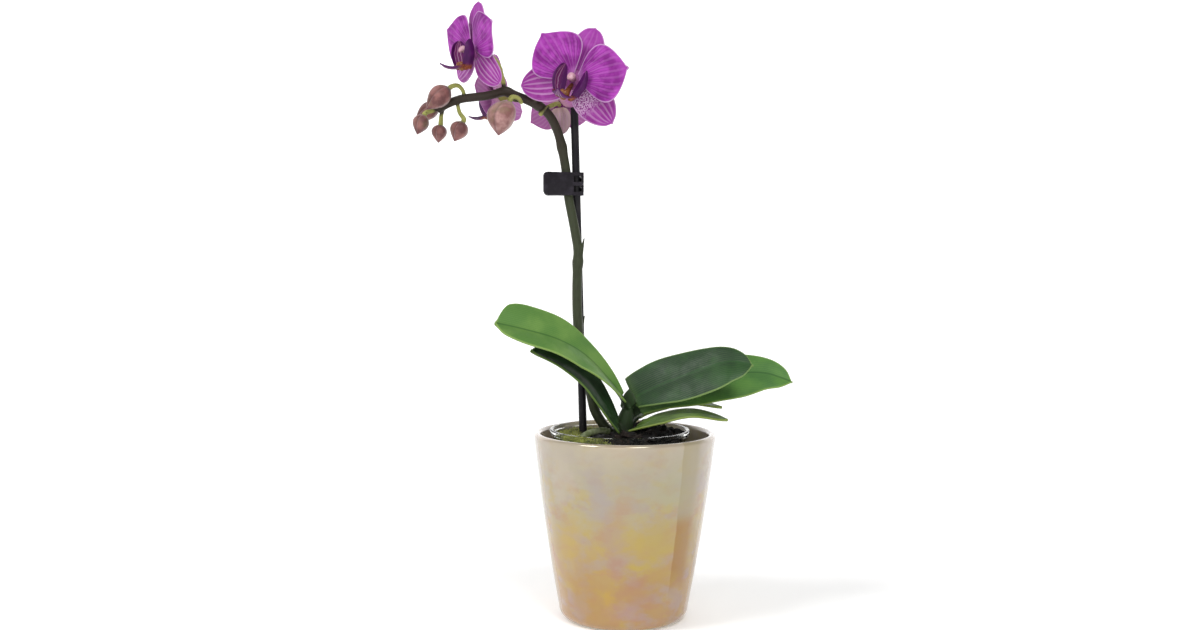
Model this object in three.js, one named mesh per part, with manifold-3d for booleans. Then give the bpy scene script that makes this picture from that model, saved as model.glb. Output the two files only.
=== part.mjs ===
import * as THREE from "three";
import { mergeVertices } from "three/addons/utils/BufferGeometryUtils.js";
import Module from "manifold-3d";

const wasm = await Module();
wasm.setup();

// Potted miniature moth orchid: a clear nursery pot in a glazed ceramic pot, six leaves, one arched
// flower spike with four blooms and six buds, and a stake with a sprung clip.
// Millimetres, +Z up. The origin is the centre of the ceramic pot's foot, and the front faces -Y.

// Clearance between pieces that touch
const GAP = 0.3;

// Ceramic pot
const POT_HEIGHT = 92;
const POT_RIM_RADIUS = 45;
const POT_BASE_RADIUS = 31;
const POT_SWELL = 0.9; // how far the wall bows out of a straight cone
const POT_WALL = 3.5;
const POT_FLOOR = 4.5;
const POT_HEEL = 6; // rounding between wall and foot
const POT_SIDES = 48;

// Nursery pot, which stands on the ceramic pot's floor
const NURSERY_X = -2.5;
const NURSERY_BASE = POT_FLOOR + GAP;
const NURSERY_TOP = 93.5;
const NURSERY_RIM_RADIUS = 34.5;
const NURSERY_BASE_RADIUS = 21;
const NURSERY_WALL = 0.9;
const NURSERY_SIDES = 32;
const DRAIN_HOLES = 4;
const DRAIN_RADIUS = 2.5;

// Growing medium and what lies on it
const MEDIUM_TOP = 87.5;
const MOUND_HEIGHT = 6;
const CHIP_COUNT = 18;
const MOSS_HEIGHT = 3;

// Support stake: its axis at two heights
const STAKE_RADIUS = 1.95;
const STAKE_BOTTOM = new THREE.Vector3(-19.2, 8.4, 46);
const STAKE_TOP = new THREE.Vector3(-26, 6.2, 252);

// Flower spike
const SPIKE_BASE_RADIUS = 2.5;
const SPIKE_TIP_RADIUS = 2.05;

// Clip: it stands upright and reaches past the spike to the stake
const CLIP_Z = 214;
const CLIP_TURN = 10; // degrees that its far end is turned to the back
const CLIP_HEIGHT = 11.3;
const CLIP_WALL = 1.1;
const CLIP_INSIDE = 3.3; // from the clip's long axis to the inside of a jaw
const CLIP_HINGE_TO_SPIKE = 5.3;
const CLIP_BEHIND_SPIKE = 0.4; // from the spike's axis back to the clip's long axis
const CLIP_TO_END = 12.2; // from the hinge axis to the inside of the jaws' hooked ends
const CLIP_FINGER_GAP = 0.45;
const SLOT_LENGTH = 4.4; // how far the slots between the fingers run into each jaw's wall
const FRONT_FINGER = 1.7;
const REAR_FINGER = 2.2;
const PIN_RADIUS = 0.9;
const KNUCKLE_RADIUS = 2.1;
const FRONT_LEVER = 9.4;
const REAR_LEVER = 7.4;
const LEVER_FLARE = 22; // degrees that each lever stands off the clip's long axis

// Thickness of the flower parts and leaves
const PETAL_THICKNESS = 0.7;
const LIP_THICKNESS = 0.8;
const LEAF_THICKNESS = 1.5;

const v3 = (x, y, z) => new THREE.Vector3(x, y, z);
const radians = THREE.MathUtils.degToRad;
const lerp = THREE.MathUtils.lerp;

/** Repeatable random numbers from 0 to 1. */
function seeded(seed) {
  let state = seed;
  return () => {
    state = (state * 1664525 + 1013904223) % 4294967296;
    return state / 4294967296;
  };
}

/** Geometry with positions only and shared vertices merged. */
function welded(geometry) {
  const bare = geometry.clone();
  bare.deleteAttribute("normal");
  bare.deleteAttribute("uv");
  return mergeVertices(bare, 1e-3);
}

/** A closed geometry as a solid for joining and cutting. */
function solidOf(geometry) {
  const bare = welded(geometry);
  return new wasm.Manifold(
    new wasm.Mesh({
      numProp: 3,
      vertProperties: new Float32Array(bare.attributes.position.array),
      triVerts: new Uint32Array(bare.index.array),
    }),
  );
}

/** A solid back as a three.js geometry. */
function geometryOf(solid) {
  const mesh = solid.getMesh();
  const geometry = new THREE.BufferGeometry();
  const positions = new THREE.BufferAttribute(new Float32Array(mesh.vertProperties), 3);
  geometry.setAttribute("position", positions);
  geometry.setIndex(new THREE.BufferAttribute(new Uint32Array(mesh.triVerts), 1));
  return geometry;
}

/** Joins closed geometries into one, and takes the cutters out of it. */
function join(parts, cutters = []) {
  const joined = parts.map(solidOf).reduce((all, part) => all.add(part));
  return geometryOf(cutters.map(solidOf).reduce((all, cutter) => all.subtract(cutter), joined));
}

/** Geometry from points and the triangles between them. */
function indexed(points, index) {
  const geometry = new THREE.BufferGeometry().setFromPoints(points);
  geometry.setIndex(index);
  return geometry;
}

/** Closed solid through rings of points that turn about the way from first to last. */
function loft(rings, first, last) {
  const sides = rings[0].length;
  const end = 1 + rings.length * sides;
  const at = (ring, side) => 1 + ring * sides + (side % sides);
  const index = [];
  for (let side = 0; side < sides; side++) {
    index.push(0, at(0, side + 1), at(0, side));
    index.push(end, at(rings.length - 1, side), at(rings.length - 1, side + 1));
    for (let ring = 0; ring + 1 < rings.length; ring++) {
      const [a, b] = [at(ring, side), at(ring, side + 1)];
      const [c, d] = [at(ring + 1, side + 1), at(ring + 1, side)];
      index.push(a, b, c, a, c, d);
    }
  }
  return indexed([first, ...rings.flat(), last], index);
}

/** Round stem along a curve, with radius(u) at the share u of its length. */
function stem(points, radius, sides, steps) {
  const curve = new THREE.CatmullRomCurve3(points);
  const frames = curve.computeFrenetFrames(steps);
  const rings = Array.from({ length: steps + 1 }, (_, i) => {
    const centre = curve.getPointAt(i / steps);
    return Array.from({ length: sides }, (_, j) => {
      const turn = (j / sides) * 2 * Math.PI;
      return centre
        .clone()
        .addScaledVector(frames.normals[i], Math.cos(turn) * radius(i / steps))
        .addScaledVector(frames.binormals[i], Math.sin(turn) * radius(i / steps));
    });
  });
  return loft(rings, curve.getPointAt(0), curve.getPointAt(1));
}

/**
 * Closed blade: surface(t, s) runs along t from 0 to 1 and across s from -1 to 1. It is thickened to
 * both sides, and both faces are split into the same triangles.
 */
function blade(surface, thickness, along, across, from = 0, to = 1) {
  const step = 1e-3;
  const points = [[], []];
  for (let i = 0; i <= along; i++) {
    for (let j = 0; j <= across; j++) {
      const t = lerp(from, to, i / along);
      const s = lerp(-1, 1, j / across);
      const dt = surface(t + step, s).sub(surface(t - step, s));
      const ds = surface(t, s + step).sub(surface(t, s - step));
      const normal = dt.cross(ds).normalize();
      [1, -1].forEach((side, face) => {
        points[face].push(surface(t, s).addScaledVector(normal, (side * thickness) / 2));
      });
    }
  }
  const count = points[0].length;
  const at = (i, j) => i * (across + 1) + j;
  const index = [];
  for (let i = 0; i < along; i++) {
    for (let j = 0; j < across; j++) {
      const [a, b, c, d] = [at(i, j), at(i + 1, j), at(i + 1, j + 1), at(i, j + 1)];
      index.push(a, b, c, a, c, d);
      index.push(...[a, c, b, a, d, c].map((k) => k + count));
    }
  }
  const edge = [
    ...Array.from({ length: along }, (_, i) => at(i, 0)),
    ...Array.from({ length: across }, (_, j) => at(along, j)),
    ...Array.from({ length: along }, (_, i) => at(along - i, across)),
    ...Array.from({ length: across }, (_, j) => at(0, across - j)),
  ];
  edge.forEach((p, k) => {
    const q = edge[(k + 1) % edge.length];
    index.push(q, p, p + count, q, p + count, q + count);
  });
  return indexed(points.flat(), index);
}

/** Half width of a blade at t, as a share of its widest: a leaf outline with a blunt tip. */
function outline(t, { base, rise, fall, tip }) {
  const x = THREE.MathUtils.clamp(t, 0, 1);
  const peak = rise / (rise + fall);
  const bulge = (x / peak) ** rise * ((1 - x) / (1 - peak)) ** fall;
  return Math.max(base * (1 - x) ** 2 + bulge, tip);
}

/** Mesh with its name and a plain material. */
function piece(name, geometry, color, roughness = 0.5, extra = {}) {
  const material = new THREE.MeshStandardMaterial({ color, roughness, metalness: 0, ...extra });
  const mesh = new THREE.Mesh(geometry, material);
  mesh.name = name;
  return mesh;
}

/** Turned solid from [radius, height] pairs. */
function turned(profile, sides) {
  const points = profile.map(([r, z]) => new THREE.Vector2(r, z));
  return new THREE.LatheGeometry(points, sides).rotateX(Math.PI / 2);
}

// Pot and what it holds

/** Outside radius of the ceramic wall at height z. */
function potRadius(z) {
  const share = z / POT_HEIGHT;
  return lerp(POT_BASE_RADIUS, POT_RIM_RADIUS, share) + 4 * POT_SWELL * share * (1 - share);
}

function ceramicPot() {
  const foot = POT_BASE_RADIUS - POT_HEEL + 1;
  const lip = POT_WALL / 2;
  const heel = [60, 30].map((turn) => [
    foot + Math.cos(radians(turn)) * (POT_HEEL - 1),
    POT_HEEL * (1 - Math.sin(radians(turn))),
  ]);
  const outside = [POT_HEEL, 30, 60, POT_HEIGHT - lip].map((z) => [potRadius(z), z]);
  const middle = potRadius(POT_HEIGHT) - lip;
  const rim = [55, 90, 125].map((turn) => [
    middle + Math.cos(radians(turn)) * lip,
    POT_HEIGHT - lip + Math.sin(radians(turn)) * lip,
  ]);
  const inside = [POT_HEIGHT - lip, 50, POT_FLOOR + 5].map((z) => [potRadius(z) - POT_WALL, z]);
  const floor = [[potRadius(POT_FLOOR) - POT_WALL - 4, POT_FLOOR]];
  const profile = [[0, 0], [foot, 0], ...heel, ...outside, ...rim, ...inside, ...floor, [0, POT_FLOOR]];
  return piece("ceramic_pot", turned(profile, POT_SIDES), 0xe3cfa2, 0.15);
}

/** Outside radius of the nursery pot at height z. */
function nurseryRadius(z) {
  const share = (z - NURSERY_BASE) / (NURSERY_TOP - NURSERY_BASE);
  return lerp(NURSERY_BASE_RADIUS, NURSERY_RIM_RADIUS - 1, share);
}

function nurseryPot() {
  const inner = (z) => nurseryRadius(z) - NURSERY_WALL;
  const floor = NURSERY_BASE + NURSERY_WALL;
  const rim = NURSERY_TOP - 2.4;
  const shell = turned(
    [
      [0, NURSERY_BASE],
      [NURSERY_BASE_RADIUS, NURSERY_BASE],
      [nurseryRadius(rim), rim],
      [NURSERY_RIM_RADIUS, rim],
      [NURSERY_RIM_RADIUS, NURSERY_TOP],
      [inner(NURSERY_TOP), NURSERY_TOP],
      [inner(floor), floor],
      [0, floor],
    ],
    NURSERY_SIDES,
  );
  const drain = new THREE.CylinderGeometry(DRAIN_RADIUS, DRAIN_RADIUS, 4, 8).rotateX(Math.PI / 2);
  const drains = Array.from({ length: DRAIN_HOLES }, (_, i) => {
    const turn = ((i + 0.5) / DRAIN_HOLES) * 2 * Math.PI;
    const reach = NURSERY_BASE_RADIUS * 0.6;
    return drain.clone().translate(Math.cos(turn) * reach, Math.sin(turn) * reach, NURSERY_BASE);
  });
  const geometry = join([shell], drains).translate(NURSERY_X, 0, 0);
  return piece("nursery_pot", geometry, 0xf2f5f2, 0.1, { transparent: true, opacity: 0.25 });
}

// The bark is heaped on the right: the mound's middle and reach, from the nursery pot's axis
const MOUND_MIDDLE = [10, 3];
const MOUND_REACH = [21, 21];

/** Height of the bark's top at a point from the nursery pot's axis. */
function mediumHeight(x, y) {
  const [dx, dy] = [(x - MOUND_MIDDLE[0]) / MOUND_REACH[0], (y - MOUND_MIDDLE[1]) / MOUND_REACH[1]];
  return MEDIUM_TOP + MOUND_HEIGHT * Math.sqrt(Math.max(0, 1 - dx * dx - dy * dy));
}

/** Bark that fills the nursery pot, with chips standing out of its top, and holes for what it holds. */
function growingMedium(holes) {
  const random = seeded(11);
  const wall = NURSERY_WALL + GAP;
  const bottom = NURSERY_BASE + wall;
  const body = turned(
    [
      [0, bottom],
      [nurseryRadius(bottom) - wall, bottom],
      [nurseryRadius(MEDIUM_TOP) - wall, MEDIUM_TOP],
      [0, MEDIUM_TOP],
    ],
    24,
  );
  const mound = new THREE.SphereGeometry(1, 14, 8)
    .scale(...MOUND_REACH, MOUND_HEIGHT)
    .translate(...MOUND_MIDDLE, MEDIUM_TOP);
  const chips = Array.from({ length: CHIP_COUNT }, (_, i) => {
    const reach = 25 * Math.sqrt((i + 0.5) / CHIP_COUNT);
    const turn = radians(lerp(-84, 96, (i * 0.618) % 1));
    const [x, y] = [Math.cos(turn) * reach, Math.sin(turn) * reach];
    const size = lerp(7, 11, random());
    return new THREE.BoxGeometry(size, size * 0.7, 3.4)
      .rotateX(lerp(-0.3, 0.3, random()))
      .rotateY(lerp(-0.3, 0.3, random()))
      .rotateZ(random() * Math.PI)
      .translate(x, y, mediumHeight(x, y) + 0.3);
  });
  const bark = join([body, mound, ...chips]).translate(NURSERY_X, 0, 0);
  return piece("growing_medium", join([bark], holes), 0x2a1d14, 0.95);
}

/** Radius of the moss cushion's reach from the nursery pot's axis. */
const MOSS_REACH = 30.6;

/** Cushion of moss over the left of the medium: a lumpy crescent between two arcs. */
function moss(holes) {
  const random = seeded(5);
  const spans = 16;
  const rings = [];
  for (let i = 0; i <= spans; i++) {
    const turn = radians(lerp(112, 262, i / spans));
    const swell = Math.sin((Math.PI * (i + 0.7)) / (spans + 1.4)) ** 0.5;
    const [near, far] = [MOSS_REACH - 11.5 * swell, MOSS_REACH];
    const low = MEDIUM_TOP + GAP;
    const height = MOSS_HEIGHT * swell * lerp(0.65, 1.15, random());
    const section = [
      [near, low],
      [near, low + height * 0.55],
      [lerp(near, far, 0.35), low + height],
      [lerp(near, far, 0.7), low + height * lerp(0.75, 1.05, random())],
      [far, low + height * 0.5],
      [far, low],
    ];
    rings.push(section.map(([r, z]) => v3(NURSERY_X + Math.cos(turn) * r, Math.sin(turn) * r, z)));
  }
  const centreOf = (ring) => {
    const sum = ring.reduce((all, p) => all.add(p), v3(0, 0, 0));
    return sum.divideScalar(ring.length);
  };
  const cushion = loft(rings, centreOf(rings[0]), centreOf(rings[spans]));
  return piece("moss", join([cushion], holes), 0x8f9a2f, 0.95);
}

// Aerial roots, each a path from the stem into the medium
const ROOTS = {
  aerial_root_left: {
    radius: 1.6,
    points: [[-8, -2.5, 92.5], [-12, -5, 93.2], [-17, -8.5, 92.6], [-21, -10, 90.4], [-23, -10.4, 86], [-23.4, -10.5, 81]],
  },
  aerial_root_right: {
    radius: 1.6,
    points: [[4, 5.6, 90.5], [7, 9.8, 93.6], [11, 13.8, 95], [15, 17, 93.5], [16.5, 18.6, 88], [16.7, 19, 82]],
  },
};

/** One aerial root, grown by extra all round to make its hole. */
function rootGeometry({ radius, points }, extra = 0) {
  const path = points.map((p) => v3(...p));
  return stem(path, () => radius + extra, 7, 9);
}

// Leaves

const LEAF_STEPS = 12;
const LEAF_ACROSS = 6;
// Length of each path that is sheath, joined to the stem, and its width as a share of the leaf's
const SHEATH = 9.5;
const SHEATH_WIDTH = 0.5;

/**
 * Each leaf: its midrib from inside the stem to the tip, the way that its upper face looks at the base
 * and at the tip, its left and right halves seen from the base, and how it folds and arches.
 */
const LEAVES = {
  leaf_left_upper: {
    midrib: [
      [1.5, 0, 102.5], [-2.3, -4.6, 110], [-9.6, -8, 119.8], [-20.5, -12, 131], [-33, -16.6, 138.4],
      [-47.8, -20, 143], [-62.3, -22, 146.4],
    ],
    up: [[0.6, -0.3, 0.5], [0.42, -0.55, 0.62]],
    halves: [
      { half: 12, base: 0.35, rise: 0.75, fall: 0.42, tip: 0.16 },
      { half: 15.6, base: 0.2, rise: 1.6, fall: 0.36, tip: 0.2 },
    ],
    fold: [40, 16],
    curl: 0.006,
  },
  leaf_left_lower: {
    midrib: [
      [-1, 0, 89], [-4, -5.2, 96], [-11.4, -9, 108.2], [-19.4, -11.6, 118.8], [-30.4, -13.5, 126.8],
      [-45.5, -15.5, 133],
    ],
    up: [[0.7, -0.4, 0.4], [0.4, -0.45, 0.7]],
    halves: [
      { half: 5.8, base: 1.3, rise: 0.6, fall: 0.4, tip: 0.4 },
      { half: 9, base: 0.04, rise: 0.9, fall: 0.4, tip: 0.2 },
    ],
    fold: [30, 14],
    curl: 0.006,
  },
  leaf_right_upper: {
    midrib: [
      [0, 0, 101.5], [4.8, -2.6, 108.6], [14, -6, 114.2], [26.7, -9.4, 120], [39, -11.6, 124.8],
      [50, -13.4, 128], [61, -15, 126.8],
    ],
    up: [[-0.3, -0.75, 0.5], [-0.2, -0.72, 0.66]],
    halves: [
      { half: 13, base: 0.3, rise: 0.46, fall: 0.6, tip: 0.1 },
      { half: 14.6, base: 0.1, rise: 0.95, fall: 0.5, tip: 0.14 },
    ],
    fold: [18, 12],
    curl: 0.012,
  },
  leaf_right_long: {
    midrib: [
      [0, 1, 96.5], [7, 4, 102.6], [20, 7, 109.2], [38, 9, 115.8], [56, 9.4, 119.8], [70, 8, 120.4],
      [83, 5, 116.6],
    ],
    up: [[-0.2, -0.6, 0.75], [-0.05, -0.74, 0.66]],
    halves: [
      { half: 13, base: 0.4, rise: 0.7, fall: 0.62, tip: 0.06 },
      { half: 15.4, base: 0.14, rise: 0.95, fall: 0.66, tip: 0.06 },
    ],
    fold: [30, 12],
    curl: 0.01,
  },
  leaf_right_back: {
    midrib: [[0, 2, 92], [7.4, 8, 98.8], [19, 13, 103], [33, 15, 104.6], [49.2, 16, 102.4]],
    up: [[-0.2, -0.1, 0.9], [0, -0.1, 0.97]],
    halves: [
      { half: 7, base: 0.5, rise: 0.6, fall: 0.6, tip: 0.08 },
      { half: 6, base: 0.5, rise: 0.6, fall: 0.6, tip: 0.08 },
    ],
    fold: [30, 10],
    curl: 0.01,
  },
  leaf_right_low: {
    midrib: [[0, -0.5, 89], [6.8, -6.6, 94.8], [18, -11.4, 100.4], [32, -13, 103], [49.5, -12, 99.8]],
    up: [[-0.2, -0.2, 0.9], [0.05, -0.25, 0.95]],
    halves: [
      { half: 5.2, base: 0.1, rise: 0.9, fall: 0.6, tip: 0.06 },
      { half: 7.5, base: 0.5, rise: 0.6, fall: 0.6, tip: 0.06 },
    ],
    fold: [34, 12],
    curl: 0.012,
  },
};

/** Share of a leaf's path at a length from its start. */
function sheathShare({ midrib }, length) {
  return length / new THREE.CatmullRomCurve3(midrib.map((p) => v3(...p))).getLength();
}

/** Surface of a leaf: s = -1 is its left edge seen along the midrib with the upper face up. */
function leafSurface({ midrib, up, halves, fold, curl }) {
  const curve = new THREE.CatmullRomCurve3(midrib.map((p) => v3(...p)));
  const [upBase, upTip] = up.map((p) => v3(...p));
  return (t, s) => {
    const u = THREE.MathUtils.clamp(t, 0, 1);
    const tangent = curve.getTangentAt(u);
    const across = tangent.clone().cross(upBase.clone().lerp(upTip, u)).normalize();
    const normal = across.clone().cross(tangent);
    const side = s < 0 ? halves[0] : halves[1];
    const reach = Math.abs(s) * side.half * outline(u, side);
    const angle = radians(lerp(fold[0], fold[1], Math.min(1, u * 2.2)));
    return curve
      .getPointAt(u)
      .addScaledVector(tangent, (t - u) * curve.getLength())
      .addScaledVector(across, Math.sign(s) * reach * Math.cos(angle))
      .addScaledVector(normal, reach * Math.sin(angle) - curl * reach * reach);
  };
}

/** Short oval stem with the sheath of each leaf, and the pocket that the flower spike stands in. */
function stemBase(pocket) {
  const sections = [
    [-1, 0, 80, 4, 3.6], [-1, 0, 88, 5.4, 4.8], [-0.5, 0, 94, 4.8, 4.2], [0.6, -0.5, 100, 3.8, 3.4],
    [1.6, -1, 105, 2.4, 2.2],
  ];
  const rings = sections.map(([x, y, z, rx, ry]) =>
    Array.from({ length: 10 }, (_, j) => {
      const turn = (j / 10) * 2 * Math.PI;
      return v3(x + Math.cos(turn) * rx, y + Math.sin(turn) * ry, z);
    }),
  );
  const core = loft(rings, v3(-1, 0, 79), v3(1.8, -1.2, 106));
  const sheaths = Object.values(LEAVES).map((leaf) => {
    const surface = leafSurface(leaf);
    const narrowed = (t, s) => surface(t, s * SHEATH_WIDTH);
    return blade(narrowed, LEAF_THICKNESS + 0.5, 2, 4, 0.015, sheathShare(leaf, SHEATH - 2 * GAP));
  });
  return piece("stem_base", join([core, ...sheaths], [pocket]), 0x3d5a2a, 0.45);
}

// Flower spike

const SPIKE = [
  [-3.6, 4.6, 88.4], [-8.2, 5.4, 92], [-14.4, 5.2, 101], [-17, 4.4, 111], [-18.9, 3.6, 120],
  [-21.6, 2.6, 131], [-23.3, 2, 143], [-24, 1.5, 158], [-23.9, 1.3, 171], [-23.6, 1.4, 181], [-25, 2, 190],
  [-27, 2.9, 200], [-28.4, 4, 207], [-29, 4.6, 214], [-30.6, 5.2, 225], [-33, 5, 236.3], [-36, 4.6, 244],
  [-39.4, 4, 248.9], [-43.8, 3, 252.2], [-49.5, 1.6, 254.8], [-55.8, 0.6, 257.2], [-59.6, 0.2, 258.6],
  [-64, 0, 257.4], [-69.7, 0, 256.2], [-75, 0, 255.6], [-81.6, 0, 254.6], [-87.4, 0, 252.4], [-92.2, 0, 249.8],
].map((p) => v3(...p));

/** Radius of the spike at the share u of its length: it narrows, and swells at its joints. */
function spikeRadius(u) {
  const joints = [0.23, 0.41, 0.665, 0.77, 0.845];
  const swell = joints.reduce((sum, at) => sum + 0.55 * Math.exp(-(((u - at) / 0.012) ** 2)), 0);
  return lerp(SPIKE_BASE_RADIUS, SPIKE_TIP_RADIUS, u ** 1.6) + swell * (1 - 0.4 * u);
}

// Small scale leaves on the spike's joints: where each starts and where its tip lies
const BRACTS = [
  { from: [-22.6, 3.4, 137], to: [-20.3, 5.6, 149] },
  { from: [-22.4, 1, 178.5], to: [-20.6, -0.6, 187.5] },
  { from: [-42.5, 1.6, 247.8], to: [-38.8, 0.8, 251.8] },
  { from: [-52.6, 0.8, 254.4], to: [-58.2, -0.8, 254.2] },
  { from: [-60.5, 0.4, 258.2], to: [-64, 0.8, 260] },
].map(({ from, to }) => ({ from: v3(...from), to: v3(...to) }));

// Buds: the base where the stalk ends, the pointed tip, the widest radius, the way that the middle
// bulges where it does, and the stalk's path
const BUDS = {
  bud_1: {
    base: [-57, -6.4, 253.2], tip: [-62.2, -8.6, 236.4], radius: 6.8, hump: [-1.6, 0, -0.6],
    stalk: [[-53.4, 1, 255.6], [-51.6, -2.6, 253], [-53, -5.4, 254.8], [-55.8, -6.2, 255.2]],
  },
  bud_2: {
    base: [-86, -5.9, 259.4], tip: [-97.2, -7, 248.8], radius: 5.2,
    stalk: [[-79.4, -0.4, 255], [-79.9, -2.8, 258.4], [-82, -4.6, 260.6], [-84.6, -5.7, 260.3]],
  },
  bud_3: {
    base: [-93, 5.8, 252.4], tip: [-104.6, 7.6, 244.8], radius: 4.3,
    stalk: [[-87, 0.2, 252], [-88.6, 3, 252.8], [-91.4, 5.2, 253]],
  },
  bud_4: {
    base: [-98.6, -3.6, 246.6], tip: [-101.9, -4.6, 236.9], radius: 4,
    stalk: [[-91, 0, 250.2], [-94.4, -1.8, 248.8], [-97.6, -3.2, 247.8]],
  },
  bud_5: {
    base: [-91.4, 3.2, 242.6], tip: [-92.7, 4, 233.6], radius: 3.8,
    stalk: [[-89.4, 0.2, 251], [-90.9, 1.8, 247], [-91.3, 3, 243.9]],
  },
  bud_6: {
    base: [-79.6, -3.2, 243.4], tip: [-83.9, -4.2, 233.8], radius: 4.5,
    stalk: [[-83, -0.2, 253.6], [-81.6, -1.8, 248], [-79.4, -3, 244.8]],
  },
};

// Blooms: the middle, the way it faces, its roll clockwise seen from in front, its size against the
// first one, the turns of its right and left petal and of its right and left sepal from the upper
// sepal, and the path of its stalk
const BLOOMS = {
  bloom_1: {
    centre: [-25.5, -12, 263], facing: [-0.2, -0.96, 0.03], roll: 20, size: 1,
    petalTurns: [60, 56], sepalTurns: [119, 114],
    stalk: [[-46.6, 2, 252.2], [-42, -1.6, 258.2], [-33, -3, 262]],
  },
  bloom_2: {
    centre: [-73.8, -9, 277], facing: [-0.8, -0.6, -0.06], roll: 1, size: 0.87,
    petalTurns: [60, 60], sepalTurns: [134, 118],
    stalk: [[-59.6, 0, 257], [-60.8, 1, 264], [-63.6, -0.6, 272.5]],
  },
  bloom_3: {
    centre: [-64.5, 23, 257.5], facing: [-0.94, 0.32, -0.12], roll: 20, size: 0.84,
    petalTurns: [58, 60], sepalTurns: [122, 122],
    stalk: [[-55, 1.4, 255.8], [-52.6, 7, 257], [-53.6, 14.4, 258]],
  },
  bloom_4: {
    centre: [-33.6, 16, 253.6], facing: [0.12, 0.95, -0.25], roll: 186, size: 0.62,
    petalTurns: [64, 66], sepalTurns: [124, 124],
    stalk: [[-41.4, 3.6, 250], [-38.6, 7.2, 252], [-35.4, 9.6, 253.6]],
  },
};

const RECEPTACLE_RADIUS = 1.6;
const RECEPTACLE_BACK = -4; // where the stalk meets the bloom, behind its middle
const RECEPTACLE_FRONT = 1;

/** Group placed at a bloom's middle: +Z faces out of the bloom and +Y runs up its upper sepal. */
function bloomFrame({ centre, facing, roll }) {
  const forward = v3(...facing).normalize();
  const right = v3(0, 0, 1).cross(forward).normalize();
  const up = forward.clone().cross(right);
  const frame = new THREE.Group();
  frame.setRotationFromMatrix(new THREE.Matrix4().makeBasis(right, up, forward));
  frame.rotateZ(-radians(roll));
  frame.position.set(...centre);
  frame.updateMatrix();
  return frame;
}

/** The spike with its bracts and every stalk, grown as one. */
function flowerSpike() {
  const parts = [stem(SPIKE, spikeRadius, 8, 38)];
  for (const { from, to } of BRACTS) {
    const middle = from.clone().lerp(to, 0.5);
    parts.push(stem([from, middle, to], (u) => 1.3 * (1 - u * 0.75), 5, 3));
  }
  for (const { stalk, base } of Object.values(BUDS)) {
    const path = [...stalk, base].map((p) => v3(...p));
    const last = path.length - 1;
    const back = path[last - 1].clone().sub(path[last]).normalize();
    path[last].addScaledVector(back, GAP);
    parts.push(stem(path, (u) => 0.95 + 0.35 * u * u, 6, 5));
  }
  for (const bloom of Object.values(BLOOMS)) {
    const frame = bloomFrame(bloom);
    const ends = [RECEPTACLE_BACK, 0, RECEPTACLE_FRONT].map((z) =>
      v3(0, 0, z * bloom.size).applyMatrix4(frame.matrix),
    );
    const path = [...bloom.stalk.map((p) => v3(...p)), ...ends];
    const radius = (u) => 1.15 + (RECEPTACLE_RADIUS * bloom.size - 1.15) * u * u;
    parts.push(stem(path, radius, 6, 9));
  }
  return piece("flower_spike", join(parts), 0x4d5530, 0.5);
}

/** Pointed bud of three folded sepals, widest below its middle. */
function bud(name, { base, tip, radius, hump = [0, 0, 0] }, index) {
  const [from, to] = [v3(...base), v3(...tip)];
  const axis = to.clone().sub(from);
  const side = v3(0, 1, 0).cross(axis).normalize();
  const other = axis.clone().normalize().cross(side);
  const shares = [
    [0.05, 0.42], [0.18, 0.82], [0.36, 1], [0.54, 0.93], [0.72, 0.66], [0.88, 0.31],
  ];
  const sides = 9;
  const rings = shares.map(([t, r]) =>
    Array.from({ length: sides }, (_, j) => {
      const turn = (j / sides) * 2 * Math.PI + index;
      const ridge = 1 + 0.07 * Math.cos(3 * turn);
      return from
        .clone()
        .addScaledVector(axis, t)
        .addScaledVector(v3(...hump), Math.sin(Math.PI * t))
        .addScaledVector(side, Math.cos(turn) * radius * r * ridge)
        .addScaledVector(other, Math.sin(turn) * radius * r * ridge);
    }),
  );
  return piece(name, loft(rings, from, to), 0xa8766e, 0.55);
}

// Blooms

// Flower parts in the bloom's own frame: length from the middle, half width, lift off the middle
// plane, slope and bend of that lift along the part, bend across it, and outline
const SEPAL = {
  length: 26.5, half: 8, lift: -0.7, slope: 0, bend: -0.0045, bow: -0.008,
  form: { base: 0.38, rise: 0.62, fall: 0.55, tip: 0.14 },
};
const SIDE_SEPAL = {
  length: 27.5, half: 8.6, lift: -0.7, slope: -0.02, bend: -0.003, bow: 0.006,
  form: { base: 0.27, rise: 0.6, fall: 0.6, tip: 0.12 },
};
const PETAL = {
  length: 27, half: 13.4, lift: 0.65, slope: 0.2, bend: -0.0045, bow: -0.006,
  form: { base: 0.16, rise: 1.2, fall: 1.15, tip: 0.1 },
};
const TEPAL_START = 2.3;

/** Flat-grown flower part at a turn from the upper sepal, clockwise seen from in front. */
function tepal(name, shape, turn, size, across, color) {
  const { length, half, lift, slope, bend, bow, form } = shape;
  const surface = (t, s) => {
    const along = lerp(TEPAL_START, length, t);
    const aside = s * half * outline(t, form);
    const height = lift + slope * along + bend * along * along + bow * aside * aside;
    return v3(aside, along, height).multiplyScalar(size);
  };
  const geometry = blade(surface, PETAL_THICKNESS, 7, across).rotateZ(-radians(turn));
  return piece(name, geometry, color, 0.6);
}

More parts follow.
